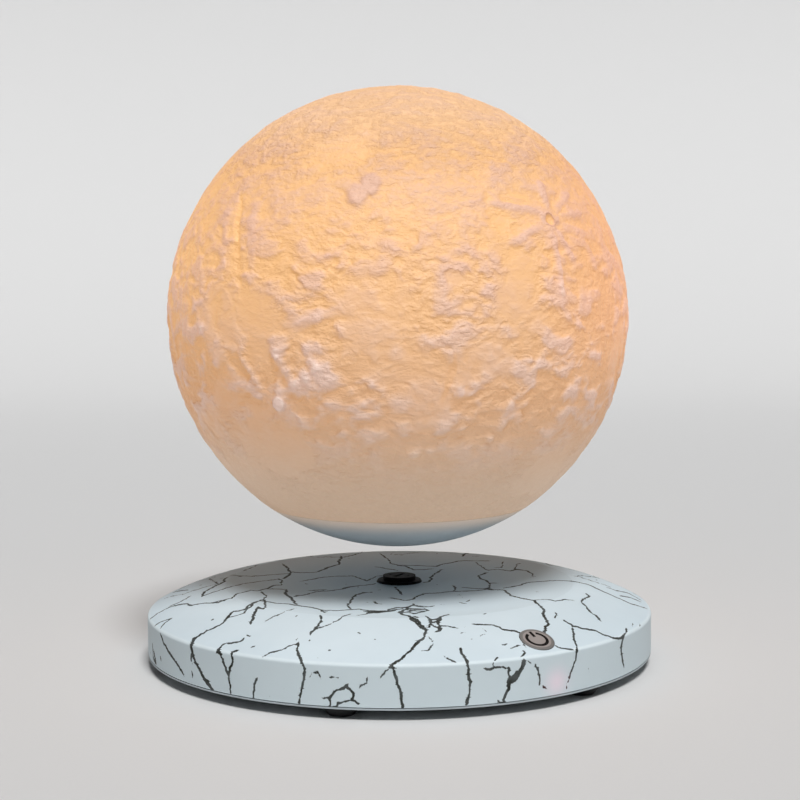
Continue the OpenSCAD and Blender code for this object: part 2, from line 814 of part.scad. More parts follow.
module receiver_board() {
    color(board_green)
        in_moon() translate([0, 0, rx_board_z]) difference() {
            cylinder(r = rx_board_r, h = board_t);
            around(4, rx_post_r, 45, -eps) cylinder(d = 2.4, h = board_t + 2 * eps, $fn = 24);
        }
}

module receiver_chips() {
    color(plastic_black)
        in_moon() translate([0, 0, rx_board_top]) {
            translate([-14, 0, 0]) slab([5, 6, 1.6]);
            translate([0, 15, 0]) slab([6, 5, 1.6]);
            for (x = [-6, -2, 2, 6]) translate([x, -17, 0]) slab([2, 1.2, 0.8]);
        }
}

module receiver_capacitor() {
    color(aluminium) in_moon() translate([14, -7, rx_board_top]) cylinder(d = 8, h = 10, $fn = 48);
}

module receiver_screws() {
    color(steel) in_moon() around(4, rx_post_r, 45, rx_board_top) screw_down(3.8, 1.4, 1.9, 4);
}

// ---- Moon: light source ----
module led_post() {
    height = led_board_z - rx_board_top;
    color(aluminium)
        in_moon() translate([0, 0, rx_board_top]) difference() {
            union() {
                cylinder(r = post_r, h = height);
                cylinder(r = post_flange_r, h = post_flange_t);
                translate([0, 0, height - post_flange_t]) cylinder(r = post_flange_r, h = post_flange_t);
            }
            translate([0, 0, -eps]) cylinder(r = post_bore_r, h = height + 2 * eps);
        }
}

module led_leads() {
    color(wire_red)
        in_moon() for (x = [-1.5, 1.5])
            translate([x, 0, rx_board_top]) cylinder(d = 1.4, h = led_board_z - rx_board_top, $fn = 24);
}

module led_board() {
    color(board_white) in_moon() translate([0, 0, led_board_z]) cylinder(r = led_board_r, h = board_t);
}

module led_chips() {
    color(led_yellow) in_moon() around(led_count, led_ring_r, 0, led_board_top) slab([3.5, 2.8, 0.9]);
}

module led_diffuser() {
    color(opal)
        in_moon() translate([0, 0, led_board_top]) rotate_extrude() intersection() {
            difference() {
                circle(r = dome_r, $fn = 180);
                circle(r = dome_r - dome_wall, $fn = 180);
            }
            square([dome_r + 1, dome_r + 1]);
        }
}

base_top_shell();
base_bottom_plate();
rubber_feet();
bottom_screws();
centre_hub();
hub_nut();
touch_disc();
touch_symbol();
touch_spring();
touch_board();
touch_chips();
indicator_led();
yoke_plate();
ring_magnet();
coil_bobbins();
coil_windings();
coil_cores();
hall_spacers();
hall_board();
hall_sensors();
coil_carrier();
ferrite_sheet();
transmitter_coil();
control_board();
control_chips();
power_capacitors();
power_inductors();
board_screws();
dc_jack();
dc_jack_pin();
drive_leads();
moon_globe();
moon_bottom_cap();
magnet_tray();
magnet_retainer();
tray_screws();
receiver_coil();
receiver_leads();
board_standoffs();
receiver_board();
receiver_chips();
receiver_capacitor();
receiver_screws();
led_post();
led_leads();
led_board();
led_chips();
led_diffuser();
float_magnet();
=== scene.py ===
"""The looks of a levitating moon lamp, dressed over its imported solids. Everything is in metres."""

import math
import random

import bmesh
import bpy
import numpy as np
from mathutils import Matrix, Vector
from mathutils.geometry import delaunay_2d_cdt
from mathutils.kdtree import KDTree


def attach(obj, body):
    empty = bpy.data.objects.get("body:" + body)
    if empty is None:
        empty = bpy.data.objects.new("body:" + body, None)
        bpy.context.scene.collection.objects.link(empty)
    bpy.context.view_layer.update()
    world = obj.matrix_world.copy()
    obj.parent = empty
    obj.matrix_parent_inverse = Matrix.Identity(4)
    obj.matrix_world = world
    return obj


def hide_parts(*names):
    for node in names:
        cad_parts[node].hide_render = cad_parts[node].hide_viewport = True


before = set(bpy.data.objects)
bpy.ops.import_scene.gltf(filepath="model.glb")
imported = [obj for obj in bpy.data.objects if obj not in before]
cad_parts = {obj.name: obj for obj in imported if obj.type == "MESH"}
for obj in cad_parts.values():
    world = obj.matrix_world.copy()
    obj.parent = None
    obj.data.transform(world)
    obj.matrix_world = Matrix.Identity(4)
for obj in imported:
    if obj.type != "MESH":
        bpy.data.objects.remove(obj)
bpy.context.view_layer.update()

bl_info = {
    "name": "Levitating moon lamp",
    "version": (1, 0, 0),
    "blender": (4, 5, 0),
    "location": "3D View > Sidebar > Moon Lamp",
    "description": "Dresses the solids of a levitating moon lamp",
    "category": "Object",
}

MM = 0.001

# ---- Sizes of the base ----
BASE_R = 83 * MM
PLATEAU_R = 57.4 * MM
PLATEAU_Z = 24.7 * MM
SHELL_Z = 3.95 * MM
SHELL_WALL = 2.2 * MM
SIDE_TOP_Z = 16.4 * MM
SHOULDER_BULGE = 1.2 * MM
EDGE_R = 1.4 * MM
INNER_EDGE_R = 0.35 * MM
SHELL_FOOT_R = 0.25 * MM  # rounding of the shell's bottom edge
CREASE_HALF = 0.3 * MM  # half the width over which the flat top turns into the shoulder

# ---- Touch disc and power inlet ----
TOUCH_R = 76.3 * MM
TOUCH_AZ = math.radians(32.2)
TOUCH_DISC_R = 5.3 * MM
TOUCH_HOLE_R = 5.45 * MM
TOUCH_PROUD = 0.12 * MM
JACK_HOLE_R = 4.2 * MM
JACK_Z = 10.4 * MM
HUB_HOLE_R = 2.65 * MM
HOLE_REACH = 12 * MM  # a hole is cut no further than this from its middle, inwards
LED_AZ = math.radians(33.8)
LED_Z = 7.8 * MM

# ---- Feet ----
FOOT_COUNT = 6
FOOT_CIRCLE_R = 75.5 * MM
FOOT_FIRST_AZ = math.radians(-13)
FOOT_TOP_R = 6.5 * MM
FOOT_BOTTOM_R = 3.9 * MM
FOOT_H = 3.3 * MM
FOOT_RECESS = 0.3 * MM

# ---- Moon ----
MOON_R = 75 * MM
MOON_Z = 112.55 * MM
MOON_CENTRE = (0.0, 0.0, MOON_Z)
MOON_WALL = 2 * MM
SEAM_R = 43 * MM
SEAM_Z = -math.sqrt(MOON_R**2 - SEAM_R**2)  # counted from the moon's centre
SEAM_GAP = 0.08 * MM
SEAM_CHAMFER = 0.12 * MM
RELIEF_MIDDLE = 0.62  # the height in the relief that stays on the smooth sphere
SPIGOT_R = 39.1 * MM
SPIGOT_WALL = 1.8 * MM
SPIGOT_H = 4 * MM

# ---- How fine the meshes are ----
RIM_COUNT = 288  # points round the shell's bottom edge
RING_STEP = 1.9 * MM  # between the points of a ring on the shell's outside
RING_LEAST = 40  # fewest points of such a ring
INNER_COUNT = 96  # points of a ring on the shell's inside
RING_GAP = 0.6 * MM  # how far the points of rings stay from holes
VEIN_GAP = 0.3 * MM  # how far the points of veins stay from holes and from the rim
SHEET_SCALE = 1000  # flat sheets are triangulated in millimetres
TOUCH_COUNT = 96  # points round the touch disc
FOOT_POINTS = 56  # points round a foot
CAP_COUNT = 160  # points round the cap
GLOBE_CELLS = 120  # squares along a side of the cube that is blown up to the globe
GLOBE_ROWS = 24  # rows of faces from that cube's lower edge to the seam
GLOBE_INNER_CELLS = 30
GLOBE_INNER_ROWS = 6

# ---- Print of the base ----
VEIN_REACH = 0.85 * MM  # the print fades to nothing this far from a vein's middle
VEIN_END = 0.38  # greatest strength at a vein's end
VEIN_GAIN = 0.26  # what each point further in adds to it
FULL_VEIN = 0.7  # a stronger vein keeps more of its strength at its ends
CELL_TRIES = 6000  # random spots tried as the middles of the back's cells
FRONT_HALF = math.radians(84)  # the photograph shows the side this far round, left and right

# ---- Stage ----
KEY_FROM = (0.12, -0.48, 0.87)  # the direction that the main light comes from
FLOOR_BACK = 0.9  # where the floor starts to curve up into the backdrop
BACKDROP_R = 0.8
BACKDROP_SHADE_Z = 0.55  # dark above this, out of view, so that the moon shades the base
BACKDROP_TOP = 3.0
FLOOR_HALF = 5.0  # half the floor's width, and how far it comes forward

# ---- Camera, fitted to the photograph ----
FRAME_PX = 800
FOCAL_PX = 1720.9
SENSOR = 36.0
CAMERA_SIDE = 0.6 * MM
CAMERA_BACK = 565.2 * MM
CAMERA_UP = 134.55 * MM
CAMERA_PITCH = math.radians(4.99)
CAMERA_ROLL = math.radians(-0.34)

# ---- The shoulder's arc: its centre and radius in the plane of radius and height ----
CHORD = math.hypot(BASE_R - PLATEAU_R, PLATEAU_Z - SIDE_TOP_Z)
SHOULDER_R = CHORD**2 / (8 * SHOULDER_BULGE) + SHOULDER_BULGE / 2
CHORD_TO_CENTRE = SHOULDER_R - SHOULDER_BULGE
SHOULDER_X = (BASE_R + PLATEAU_R) / 2 - (PLATEAU_Z - SIDE_TOP_Z) / CHORD * CHORD_TO_CENTRE
SHOULDER_Z = (PLATEAU_Z + SIDE_TOP_Z) / 2 - (BASE_R - PLATEAU_R) / CHORD * CHORD_TO_CENTRE

# ---- Veins of the base in the photograph: how strong each is, and its points in pixels ----
VEINS_SEEN = {
    # left part of the slope and side
    "left_sweep": (0.62, [(263.5, 599.4), (248.8, 605.4), (243.7, 609.7), (233.3, 611.5),
        (227.3, 617.5), (221.3, 624.4), (212.7, 628.7), (200.6, 633.9), (194, 640)]),
    "left_sweep_side": (0.95, [(195, 637), (193.2, 641), (191.1, 646.8), (193.7, 657.1),
        (199.7, 669.2), (204, 679.5), (211.8, 690)]),
    "left_sweep_knot": (1.0, [(193.6, 637.8), (192.2, 643), (191, 649.3)]),
    "left_sweep_foot": (1.15, [(204.5, 679), (208.5, 684), (212.5, 689)]),
    "left_sweep_twin": (0.55, [(191, 653.7), (192, 662.3)]),
    "left_sweep_twin_low": (0.55, [(191.5, 670.9), (192.3, 678)]),
    "left_loop": (0.55, [(227.3, 617.5), (235, 615.8), (244.5, 613.2), (247, 608.9), (252.3, 605.4),
        (257.4, 601.1)]),
    "left_box": (0.66, [(263.5, 599.4), (265.2, 604.6), (266, 607.2), (262.6, 608.9),
        (258.3, 606.3)]),
    "left_dash": (0.82, [(258, 607), (256.6, 608.9), (253.1, 617.5), (250.5, 624.4)]),
    "left_rise": (0.6, [(261.7, 591.7), (266, 596.8), (263.5, 599.4)]),
    "left_shelf": (0.55, [(250.5, 590), (257.4, 590.8), (267.8, 588.2), (272.9, 585.6),
        (280.7, 585.1), (282.4, 580.5), (278.1, 578.7)]),
    "left_shelf_right": (0.55, [(267.8, 589), (278, 589), (286.7, 590)]),
    "left_thick_drop": (0.82, [(286.7, 590), (285.8, 593.4), (291.9, 598.5), (296.2, 604.6)]),
    "crease_left": (0.62, [(257.4, 601.1), (267.8, 601.5), (276.4, 603.4), (285, 603.7),
        (293.6, 605.1), (302.2, 606.3), (312.5, 607.5), (322.9, 610.3), (336.6, 610.6),
        (350.4, 609.7), (360.8, 608.9)]),
    "crease_middle": (0.85, [(360, 609.3), (368.4, 610.8), (377, 611), (383, 610.8), (389.8, 611.2),
        (395.2, 610)]),
    "crease_twin": (0.8, [(368.4, 613.3), (373, 612.8), (379.5, 613)]),
    "crease_return": (0.6, [(368.4, 610.8), (366.9, 613.9), (360, 615)]),
    "shadow_line_a": (0.55, [(293.6, 596.8), (303.9, 595.1), (316, 591.7), (333.2, 590.5),
        (345.3, 588.2), (355.6, 586.2), (367.6, 584.8), (375.3, 583.3)]),
    "shadow_line_a_blot": (0.8, [(310.5, 590.6), (317, 590.2), (326, 589.6)]),
    "shadow_line_a_blot_right": (0.8, [(343.5, 588.2), (349, 587), (356.5, 586)]),
    "shadow_line_b": (0.55, [(300.5, 581.3), (310.8, 579.6), (324.6, 577), (336.6, 576.2),
        (352, 575.8), (359.9, 577.9), (366.9, 581), (375.3, 576.4), (382.2, 575.6)]),
    "shadow_knot": (0.7, [(283.3, 564.1), (288.4, 568.4), (291, 571.9), (289.3, 575.3),
        (282.4, 578.7)]),
    "shadow_branch": (0.6, [(291, 571.9), (302.2, 572.7), (317.7, 571.9)]),
    "shadow_branch_thick": (0.75, [(317.7, 571.9), (328, 567.6), (339.2, 564.1), (341, 556.4)]),
    "shadow_thin": (0.5, [(228.2, 576.2), (252.3, 576.2), (274.7, 574.4), (288.4, 573.6)]),
    "back_left_thick": (0.75, [(226.4, 577.9), (223, 582.2), (212.7, 587.4), (204, 591.7),
        (201.5, 597)]),
    "back_left_faint": (0.48, [(161, 596.8), (173, 592.5), (188.5, 590)]),
    "far_left_arc": (0.62, [(149.8, 619.2), (157.6, 613.2), (169.6, 607.2), (179.9, 604.6),
        (187.7, 603.7), (191.1, 605.4), (205.8, 602.9), (217.8, 602.9), (226.4, 599.4)]),
    "far_left_spur": (0.52, [(169.6, 606.3), (179.9, 602), (190.3, 596)]),
    "far_left_fork": (0.6, [(154.1, 626.1), (161, 621.8), (171.3, 618.4)]),
    "far_left_fork_low": (0.52, [(160.1, 628.7), (164.4, 623.5), (171.3, 618.4)]),
    "far_left_drop": (0.7, [(160.1, 633), (163.6, 643.3), (171.3, 655.4), (178.2, 665.7),
        (183.4, 674.3)]),
    "far_left_blot": (0.95, [(153.6, 651), (154.6, 656), (156.2, 663)]),
    "far_left_fleck": (0.7, [(160.2, 656.6), (161, 660.6)]),
    "back_left_dashes": (0.52, [(214, 602.7), (224, 599.6), (231.8, 598.3), (238.2, 593.4),
        (249.7, 590.6)]),
    "back_left_thin": (0.45, [(203.8, 595.7), (222.9, 589.3), (247, 583), (280, 579)]),
    "crease_blot": (0.95, [(321.2, 610.5), (323.6, 611.6)]),
    "side_left_blot": (1.0, [(304.7, 670.5), (304, 674), (303.6, 677.5)]),
    "side_left_fleck": (0.62, [(284.2, 688.6), (284, 692)]),
    "side_left_speck": (0.55, [(269.4, 695.4), (269.6, 696.6)]),
    "left_slope_fleck_a": (0.62, [(211, 620.6), (213.6, 618.6)]),
    "left_slope_fleck_b": (0.55, [(240, 621.4), (242, 621)]),
    "left_slope_fleck_c": (0.6, [(246.6, 634.2), (249.2, 635.9)]),
    "left_slope_fleck_d": (0.6, [(251, 647.5), (255, 645.9)]),
    "left_slope_fleck_e": (0.5, [(295.4, 616.6), (297.4, 615.6)]),
    "far_left_edge": (0.62, [(152.4, 643.3), (153.2, 657.1), (156.7, 664)]),
    "left_fork": (0.68, [(243.7, 638.2), (240.2, 641.6), (231.6, 643.3), (223.9, 644.2),
        (218.7, 649.4), (221.3, 657.1), (226.4, 667.4), (229, 676), (230.7, 695)]),
    "left_fork_tick": (0.75, [(216.1, 653.7), (218.7, 649.4)]),
    "left_fork_inner": (0.62, [(238.5, 650.2), (232.5, 651.9), (232.5, 662.3), (229.9, 670.9),
        (228.6, 676)]),
    "side_short": (0.62, [(257.4, 677.8), (254, 686.4), (253.1, 698.4)]),
    "slope_dashes": (0.5, [(262.6, 657.1), (272.9, 651.9), (285, 648.5), (294.5, 644.2)]),
    "side_left": (0.74, [(298.8, 641.6), (297, 650.2), (300.5, 658.8), (304.8, 669.2),
        (303.9, 677.8), (301.3, 689.8), (299.6, 704.4)]),
    "slope_hook": (0.66, [(320.3, 614.9), (321.1, 620), (316.8, 627), (312.5, 631.3),
        (310, 635.6)]),
    "slope_beads": (0.46, [(310.8, 631.3), (324.6, 626.1), (336.6, 621), (350.4, 614)]),
    "slope_beads_left": (0.45, [(266, 620.9), (276.4, 615.8), (293.6, 608.9)]),
    "crease_rise": (0.62, [(350.4, 608.9), (347, 605.4), (352.1, 599.4), (355.6, 595.1),
        (365.9, 592.5)]),
    "squiggle": (0.74, [(321.1, 697.6), (329.8, 698.4), (336.6, 689.8), (345.3, 686.4),
        (353.9, 693.3), (352.1, 700.2), (359.9, 703.6)]),
    "squiggle_top": (0.66, [(345.3, 686.4), (348.7, 682.9)]),
    "squiggle_leg": (0.64, [(330.6, 699.3), (329.8, 707)]),
    "squiggle_tail": (0.62, [(352.1, 700.2), (343.5, 701.9), (337.5, 702.7), (335.8, 708)]),
    "side_beads_a": (0.52, [(359, 688.1), (366.8, 682.9), (367.6, 676)]),
    "side_beads_b": (0.6, [(379.7, 679.5), (384.9, 672.6), (390, 667.4), (398.6, 660.5)]),
    "side_beads_c": (0.5, [(328, 676.9), (339.2, 677.8)]),
    "side_beads_d": (0.5, [(309.1, 677.8), (314.3, 672.6), (317.7, 672.6), (321.1, 679.5)]),
    # the knot of veins at the middle, and the main vein down from it
    "knot_band_a": (0.9, [(364, 611.6), (372, 611.6), (380, 611.4), (388, 611), (396, 609.6),
        (402, 608.6)]),
    "knot_band_b": (0.9, [(367, 612.9), (376, 612.4), (384, 612), (391, 611)]),
    "knot_band_c": (0.85, [(388, 610), (394, 608.4), (400, 607.6), (407, 606.8)]),
    "knot_band_d": (0.85, [(399, 611.4), (404, 612.4), (409, 611.6), (414, 610.4)]),
    "knot_band_e": (0.8, [(410, 609.4), (418, 609.6), (426, 609.2)]),
    "knot_band_f": (0.75, [(404, 609.6), (411, 610.4), (419, 611), (427, 610.6)]),
    "knot_band_g": (0.7, [(414, 606), (424, 607), (433, 606)]),
    "centre_twin": (0.6, [(409.6, 617.4), (413.6, 621), (418, 625.4), (422.4, 629)]),
    "centre_twin_right": (0.5, [(413.5, 616), (419, 621), (424, 627), (427, 631)]),
    "star_fill": (0.55, [(429, 619), (433, 622.5), (437, 620.5), (441, 618.5)]),
    "star_fill_low": (0.55, [(431, 624), (435, 627), (439, 629), (437, 632)]),
    "centre_main_foot": (1.0, [(400.6, 697), (401.6, 702), (402.4, 709)]),
    "knot_top": (0.76, [(389.1, 609.3), (396.7, 607.4), (405.9, 607.7), (409, 608.5),
        (402.8, 610.8), (399, 612.3)]),
    "knot_right": (0.76, [(409, 608.5), (418.1, 608.9), (425, 608.9), (428.9, 610.4),
        (422, 611.6)]),
    "knot_low": (0.72, [(410.5, 612.3), (413.6, 613.9), (419.7, 612.3), (425, 611.6)]),
    "knot_spur": (0.6, [(409, 607.4), (412.8, 605.1), (412.8, 603.5)]),
    "knot_spur_right": (0.5, [(413.6, 605.4), (425.8, 606.2)]),
    "knot_tick": (0.55, [(430.4, 607), (434.2, 605.8)]),
    "centre_upper": (0.84, [(398.3, 612.3), (402.8, 614.6), (409, 615.8), (412, 617.7),
        (416.6, 620), (419.7, 624.6), (425.8, 629.5), (425, 636.4)]),
    "centre_main": (0.78, [(425, 636.4), (417.2, 643.3), (410.3, 651.1), (401.7, 658.8),
        (391.8, 664.5), (394, 674), (397, 683), (400, 690), (401.7, 698.4), (402.1, 709)]),
    "star_left": (0.66, [(425.8, 615.8), (431.2, 620), (428.4, 627.8)]),
    "star_right": (0.62, [(431.2, 620), (439.6, 617.7), (448, 614.2)]),
    "star_down": (0.7, [(441.3, 617.5), (438.7, 622.7), (440.5, 629.5), (435.3, 632.1)]),
    "star_out": (0.62, [(440.5, 626.1), (448.2, 626.1), (456.8, 628.2)]),
    "star_tail": (0.5, [(429.3, 636.4), (432.7, 643.3), (429.3, 650.2), (420.7, 651.1)]),
    "hub_front": (0.62, [(394.4, 586.9), (397.5, 589.4), (401.7, 594.4)]),
    "hub_arc": (0.66, [(390.6, 597.8), (396, 598.9), (406.7, 600.5), (414.3, 598.9), (418.1, 595.9),
        (426.6, 593.6), (439.6, 592.8), (454.1, 591.3), (474.8, 590.7), (487.8, 589.1),
        (491.3, 589.9), (503.3, 589.9)]),
    "hub_arc_tick": (0.58, [(453.4, 591.1), (455.1, 588), (452.5, 585.6)]),
    "hub_left": (0.6, [(360, 594), (363.8, 592.4), (369.2, 592.4)]),
    "hub_flecks": (0.6, [(373.8, 601.6), (376.8, 603.5), (379.9, 603.9)]),
    "hub_fleck_left": (0.6, [(366, 602.2), (368, 602.4)]),
    "hub_fleck_right": (0.55, [(461.8, 603.1), (465.6, 603.5)]),
    "hub_fleck_rise": (0.55, [(466.3, 601.6), (469.4, 600.5)]),
    "behind_hub": (0.55, [(379.9, 553.5), (385.2, 557.6), (389.1, 560.3), (391.4, 563.7),
        (398.3, 565.7), (405.9, 566.4), (409, 568), (413.6, 569.9), (425, 569.5), (431.9, 568.7)]),
    "behind_right": (0.62, [(399.8, 565.3), (421.2, 565.7), (436.5, 566.4), (442.6, 564.1),
        (451.8, 562.6), (462.5, 560.7), (489.5, 560.9)]),
    "beside_hub": (0.58, [(442.6, 569.5), (435, 573.3), (431.2, 577.1), (431.9, 579.4),
        (428.9, 581.7), (423.5, 582.5)]),
    "behind_left": (0.5, [(375.3, 566.8), (386.8, 568.7), (396.7, 570.2)]),
    # right part
    "right_shelf": (0.55, [(462, 587.4), (475.8, 588.6), (486.1, 588.7), (489.5, 587.4),
        (491.3, 583.1), (496.4, 583.1)]),
    "right_hook": (0.62, [(487, 572.7), (478.4, 575.3), (479.2, 577.9), (486.1, 580.5),
        (489.5, 583.9), (488.7, 588.2), (493, 589.9)]),
    "right_back": (0.55, [(475.8, 562.4), (484.4, 568.4), (487.8, 570.1), (498.2, 569.3),
        (510.2, 571), (517.1, 569.3), (527.4, 571), (532.6, 573.6), (533.5, 576.2)]),
    "right_ridge": (0.62, [(503.3, 588.2), (518.8, 585.6), (527.4, 582.7), (542.9, 581.3),
        (558.4, 580.5), (572.2, 581.3), (586, 583.9), (599.8, 589.9), (615.3, 596.8),
        (630.8, 603.7), (647, 608.9)]),
    "right_top": (0.7, [(503.3, 589.9), (510.2, 595.1), (518.8, 597.7), (532.6, 600.3),
        (537.8, 603.7), (544.7, 610.6), (542.9, 614), (545.5, 619.2), (549, 623.5), (545.5, 627.8),
        (543.8, 631.3), (545.5, 633.9)]),
    "right_dashes": (0.48, [(532.6, 600.3), (544.7, 599.4), (555, 601.1), (565.3, 599.4),
        (572.2, 600.3)]),
    "right_small": (0.6, [(586, 593.4), (589.4, 596), (582.5, 600.3), (582.5, 602.9),
        (587.7, 608.9), (592.9, 614)]),
    "right_small_end": (0.74, [(594.6, 614.5), (600.6, 620.6)]),
    "disc_hook": (0.52, [(555, 612.3), (556.7, 614.9), (555, 618.4)]),
    "right_middle": (0.62, [(562.7, 619.2), (568.8, 623.5), (572.2, 626.1), (582.5, 628.7),
        (594.6, 630.4), (603.2, 634.7), (613.5, 638.2), (622.1, 637.3), (626.5, 632.1),
        (625.6, 627.8)]),
    "right_drop": (0.72, [(623.9, 636.4), (621.3, 646.8), (622.1, 658.8), (623.9, 668.3)]),
    "disc_right": (0.62, [(572.2, 627), (573.9, 636.4), (576.5, 645), (577.4, 650.2),
        (575.7, 660.5), (571.3, 670.9), (568.8, 679.5)]),
    "disc_right_in": (0.5, [(553.3, 645), (561.9, 648.1), (575.7, 649.9)]),
    "disc_right_low": (0.68, [(566.2, 685.5), (566.7, 689.8)]),
    "side_fleck": (0.6, [(588.6, 668.8), (589, 672)]),
    "disc_left": (0.64, [(471.5, 624), (484.4, 624.9), (493, 625.2), (503.3, 629.5), (513.7, 630.4),
        (520.6, 633)]),
    "disc_low": (0.56, [(522.3, 641.6), (525.7, 646.8)]),
    "disc_low_curl": (0.6, [(523.1, 650.2), (525.7, 652.8), (521.4, 657.1)]),
    "thick_top": (0.95, [(524, 659.7), (522.3, 665.7), (518.8, 672.6), (513.7, 677.8)]),
    "thick_blot": (1.3, [(517.5, 671), (514.5, 676), (511, 681.5)]),
    "thick_blot_foot": (1.2, [(510.5, 680.5), (514, 677.5), (518, 673.5)]),
    "thick_blot_left": (0.85, [(510.5, 678.5), (513, 676.5), (516, 675)]),
    "thick_blot_low": (0.85, [(510.5, 682.8), (513.5, 681.2), (516, 678.8)]),
    "thick_blot_right": (1.1, [(519.5, 674), (516.5, 678.5), (514.5, 681)]),
    "thick_top_right": (0.9, [(525.5, 660.5), (523.5, 666.5), (520.5, 671.5)]),
    "thick_tail": (0.85, [(510.2, 682.9), (506.8, 691.5), (503.3, 700.2), (505, 703.6)]),
    "thick_left": (0.66, [(508.5, 667.4), (509.4, 676), (506.8, 686.4)]),
    "thick_shelf": (0.68, [(482.7, 668.3), (489.5, 669.2), (497, 667), (503.3, 667.4),
        (506.8, 668.3)]),
    "thick_rise": (0.6, [(498.2, 657.1), (493.9, 661), (493, 667.4)]),
    "thick_foot": (0.74, [(497.3, 699.3), (499.9, 703.6)]),
    "side_right": (0.74, [(460.3, 647.6), (461.1, 651.9), (464.6, 658), (468, 664), (468.9, 676),
        (469.7, 686.4), (468.9, 695), (466.3, 705.3)]),
    "side_right_foot": (1.2, [(469.2, 695), (468, 699), (466.3, 705)]),
    "slope_scratch": (0.54, [(444.8, 657.1), (456, 662.3)]),
    "glow_dash": (0.52, [(527.4, 660.5), (530.9, 664)]),
    "glow_left": (0.64, [(535.2, 664), (538.6, 670.9), (539.8, 679.5), (538.6, 686.4)]),
    "glow_low": (0.74, [(542.1, 685.5), (547.2, 689)]),
    "disc_left_fleck_a": (0.6, [(464, 627.4), (465, 626.4)]),
    "disc_left_fleck_b": (0.6, [(460.2, 633.4), (463, 632.6)]),
    "disc_left_fleck_c": (0.6, [(480.4, 636), (482, 634.6)]),
    "disc_left_fleck_d": (0.6, [(486.6, 634), (487.6, 633)]),
    "disc_left_fleck_e": (0.6, [(483, 628.8), (485, 630.4)]),
    "disc_left_fleck_f": (0.55, [(471, 639.2), (472.4, 638.6)]),
    "slope_fleck_a": (0.6, [(358.8, 632.6), (360, 633.2)]),
    "slope_fleck_b": (0.55, [(374.2, 639), (375, 639.2)]),
    "slope_fleck_c": (0.55, [(338.4, 647.6), (339.2, 648)]),
    "slope_fleck_d": (0.55, [(317, 657.2), (318, 658)]),
    "disc_left_scratch": (0.5, [(510.2, 648.5), (517.1, 645.9), (520.5, 645)]),
    "disc_left_dash": (0.52, [(501.6, 644.7), (506.8, 643.7)]),
    "rim_right": (0.6, [(606.7, 587.4), (617, 590.8), (629, 593.4), (641.1, 600.3)]),
    "rim_right_low": (0.68, [(620.4, 596), (630.8, 597.7), (641.1, 602)]),
    "back_right_tick": (0.5, [(503.3, 561.5), (501.6, 567.6), (496.4, 567.6)]),
    "back_right_tick_far": (0.5, [(517.1, 564.1), (514.5, 569.3), (520.6, 570.1)]),
    "right_tick": (0.5, [(632.5, 623.5), (632.5, 626.5)]),
    "right_tick_far": (0.5, [(639.4, 623.5), (639.7, 626.5)]),
}

# ---- Features of the moon in the photograph: places in pixels, sizes in parts of its radius ----
RAYED_PIT = (549, 219)
DARK_OVAL = (357, 192)
DARK_OVAL_TIP = (370, 183)
BRIGHT_PIT = (279, 404)
# smooth places: the middle and size of each
PLAINS = {
    "left_plain": ((252, 312), 0.17),
    "left_plain_tongue": ((258, 350), 0.09),
    "lower_left_plain": ((275, 450), 0.24),
    "lower_left_strip": ((225, 400), 0.12),
    "low_right_plain": ((545, 475), 0.20),
    "ray_plain": ((522, 266), 0.10),
    "ray_plain_low": ((514, 296), 0.13),
    "ray_wedge": ((500, 222), 0.055),
    "upper_spot": ((373, 240), 0.06),
    "middle_spot": ((455, 280), 0.05),
}
# round bumps: the middle, size and height of each
BUMPS = {
    "bump_right": ((461, 391), 0.030, 0.42),
    "bump_low": ((490, 440), 0.022, 0.32),
    "bump_cluster": ((416, 455), 0.028, 0.36),
    "bump_cluster_right": ((430, 452), 0.02, 0.3),
    "bump_far_right": ((525, 404), 0.024, 0.26),
    "bump_ridge": ((462, 428), 0.022, 0.24),
    "bump_patch": ((455, 355), 0.055, 0.26),
    "bump_patch_left": ((396, 352), 0.045, 0.24),
    "bump_left": ((304, 378), 0.026, 0.34),
    "bump_left_low": ((352, 462), 0.024, 0.2),
    "bump_small": ((350, 393), 0.02, 0.22),
}
# banks (above 0) and grooves (below 0): the two ends, half width and height of each
BANKS = {
    "trough": ((241, 190), (240, 284), 0.017, -0.5),
    "trough_left_bank": ((229, 196), (229, 282), 0.028, 0.22),
    "trough_right_bank": ((256, 192), (254, 284), 0.028, 0.26),
    "plain_left_bank": ((196, 285), (226, 372), 0.07, 0.22),
    "plain_right_bank": ((290, 330), (345, 306), 0.035, 0.3),
    "plain_top_bank": ((262, 286), (300, 300), 0.03, 0.24),
    "slant_left": ((238, 352), (262, 390), 0.022, 0.4),
    "slant_right": ((268, 342), (300, 396), 0.026, 0.4),
    "slant_far": ((300, 344), (325, 384), 0.03, 0.24),
    "long_hollow": ((284, 277), (350, 256), 0.02, -0.3),
    "long_bank": ((290, 263), (356, 243), 0.02, 0.24),
    "valley": ((440, 405), (458, 352), 0.016, -0.3),
    "ray_left": ((428, 213), (492, 202), 0.026, 0.24),
    "ray_left_inner": ((486, 202), (543, 215), 0.022, 0.5),
    "ray_low_left": ((542, 224), (508, 245), 0.02, 0.42),
    "ray_down": ((551, 228), (564, 300), 0.02, 0.5),
    "ray_down_right": ((555, 227), (576, 266), 0.02, 0.42),
    "ray_right": ((557, 221), (594, 238), 0.02, 0.36),
    "ray_up": ((547, 211), (541, 180), 0.022, 0.44),
    "ray_up_right": ((554, 212), (570, 192), 0.02, 0.4),
    "ray_far_right": ((558, 217), (584, 212), 0.018, 0.3),
    "ray_ring_left": ((541, 213), (542, 224), 0.014, 0.4),
    "ray_ring_right": ((557, 214), (556, 225), 0.014, 0.4),
}

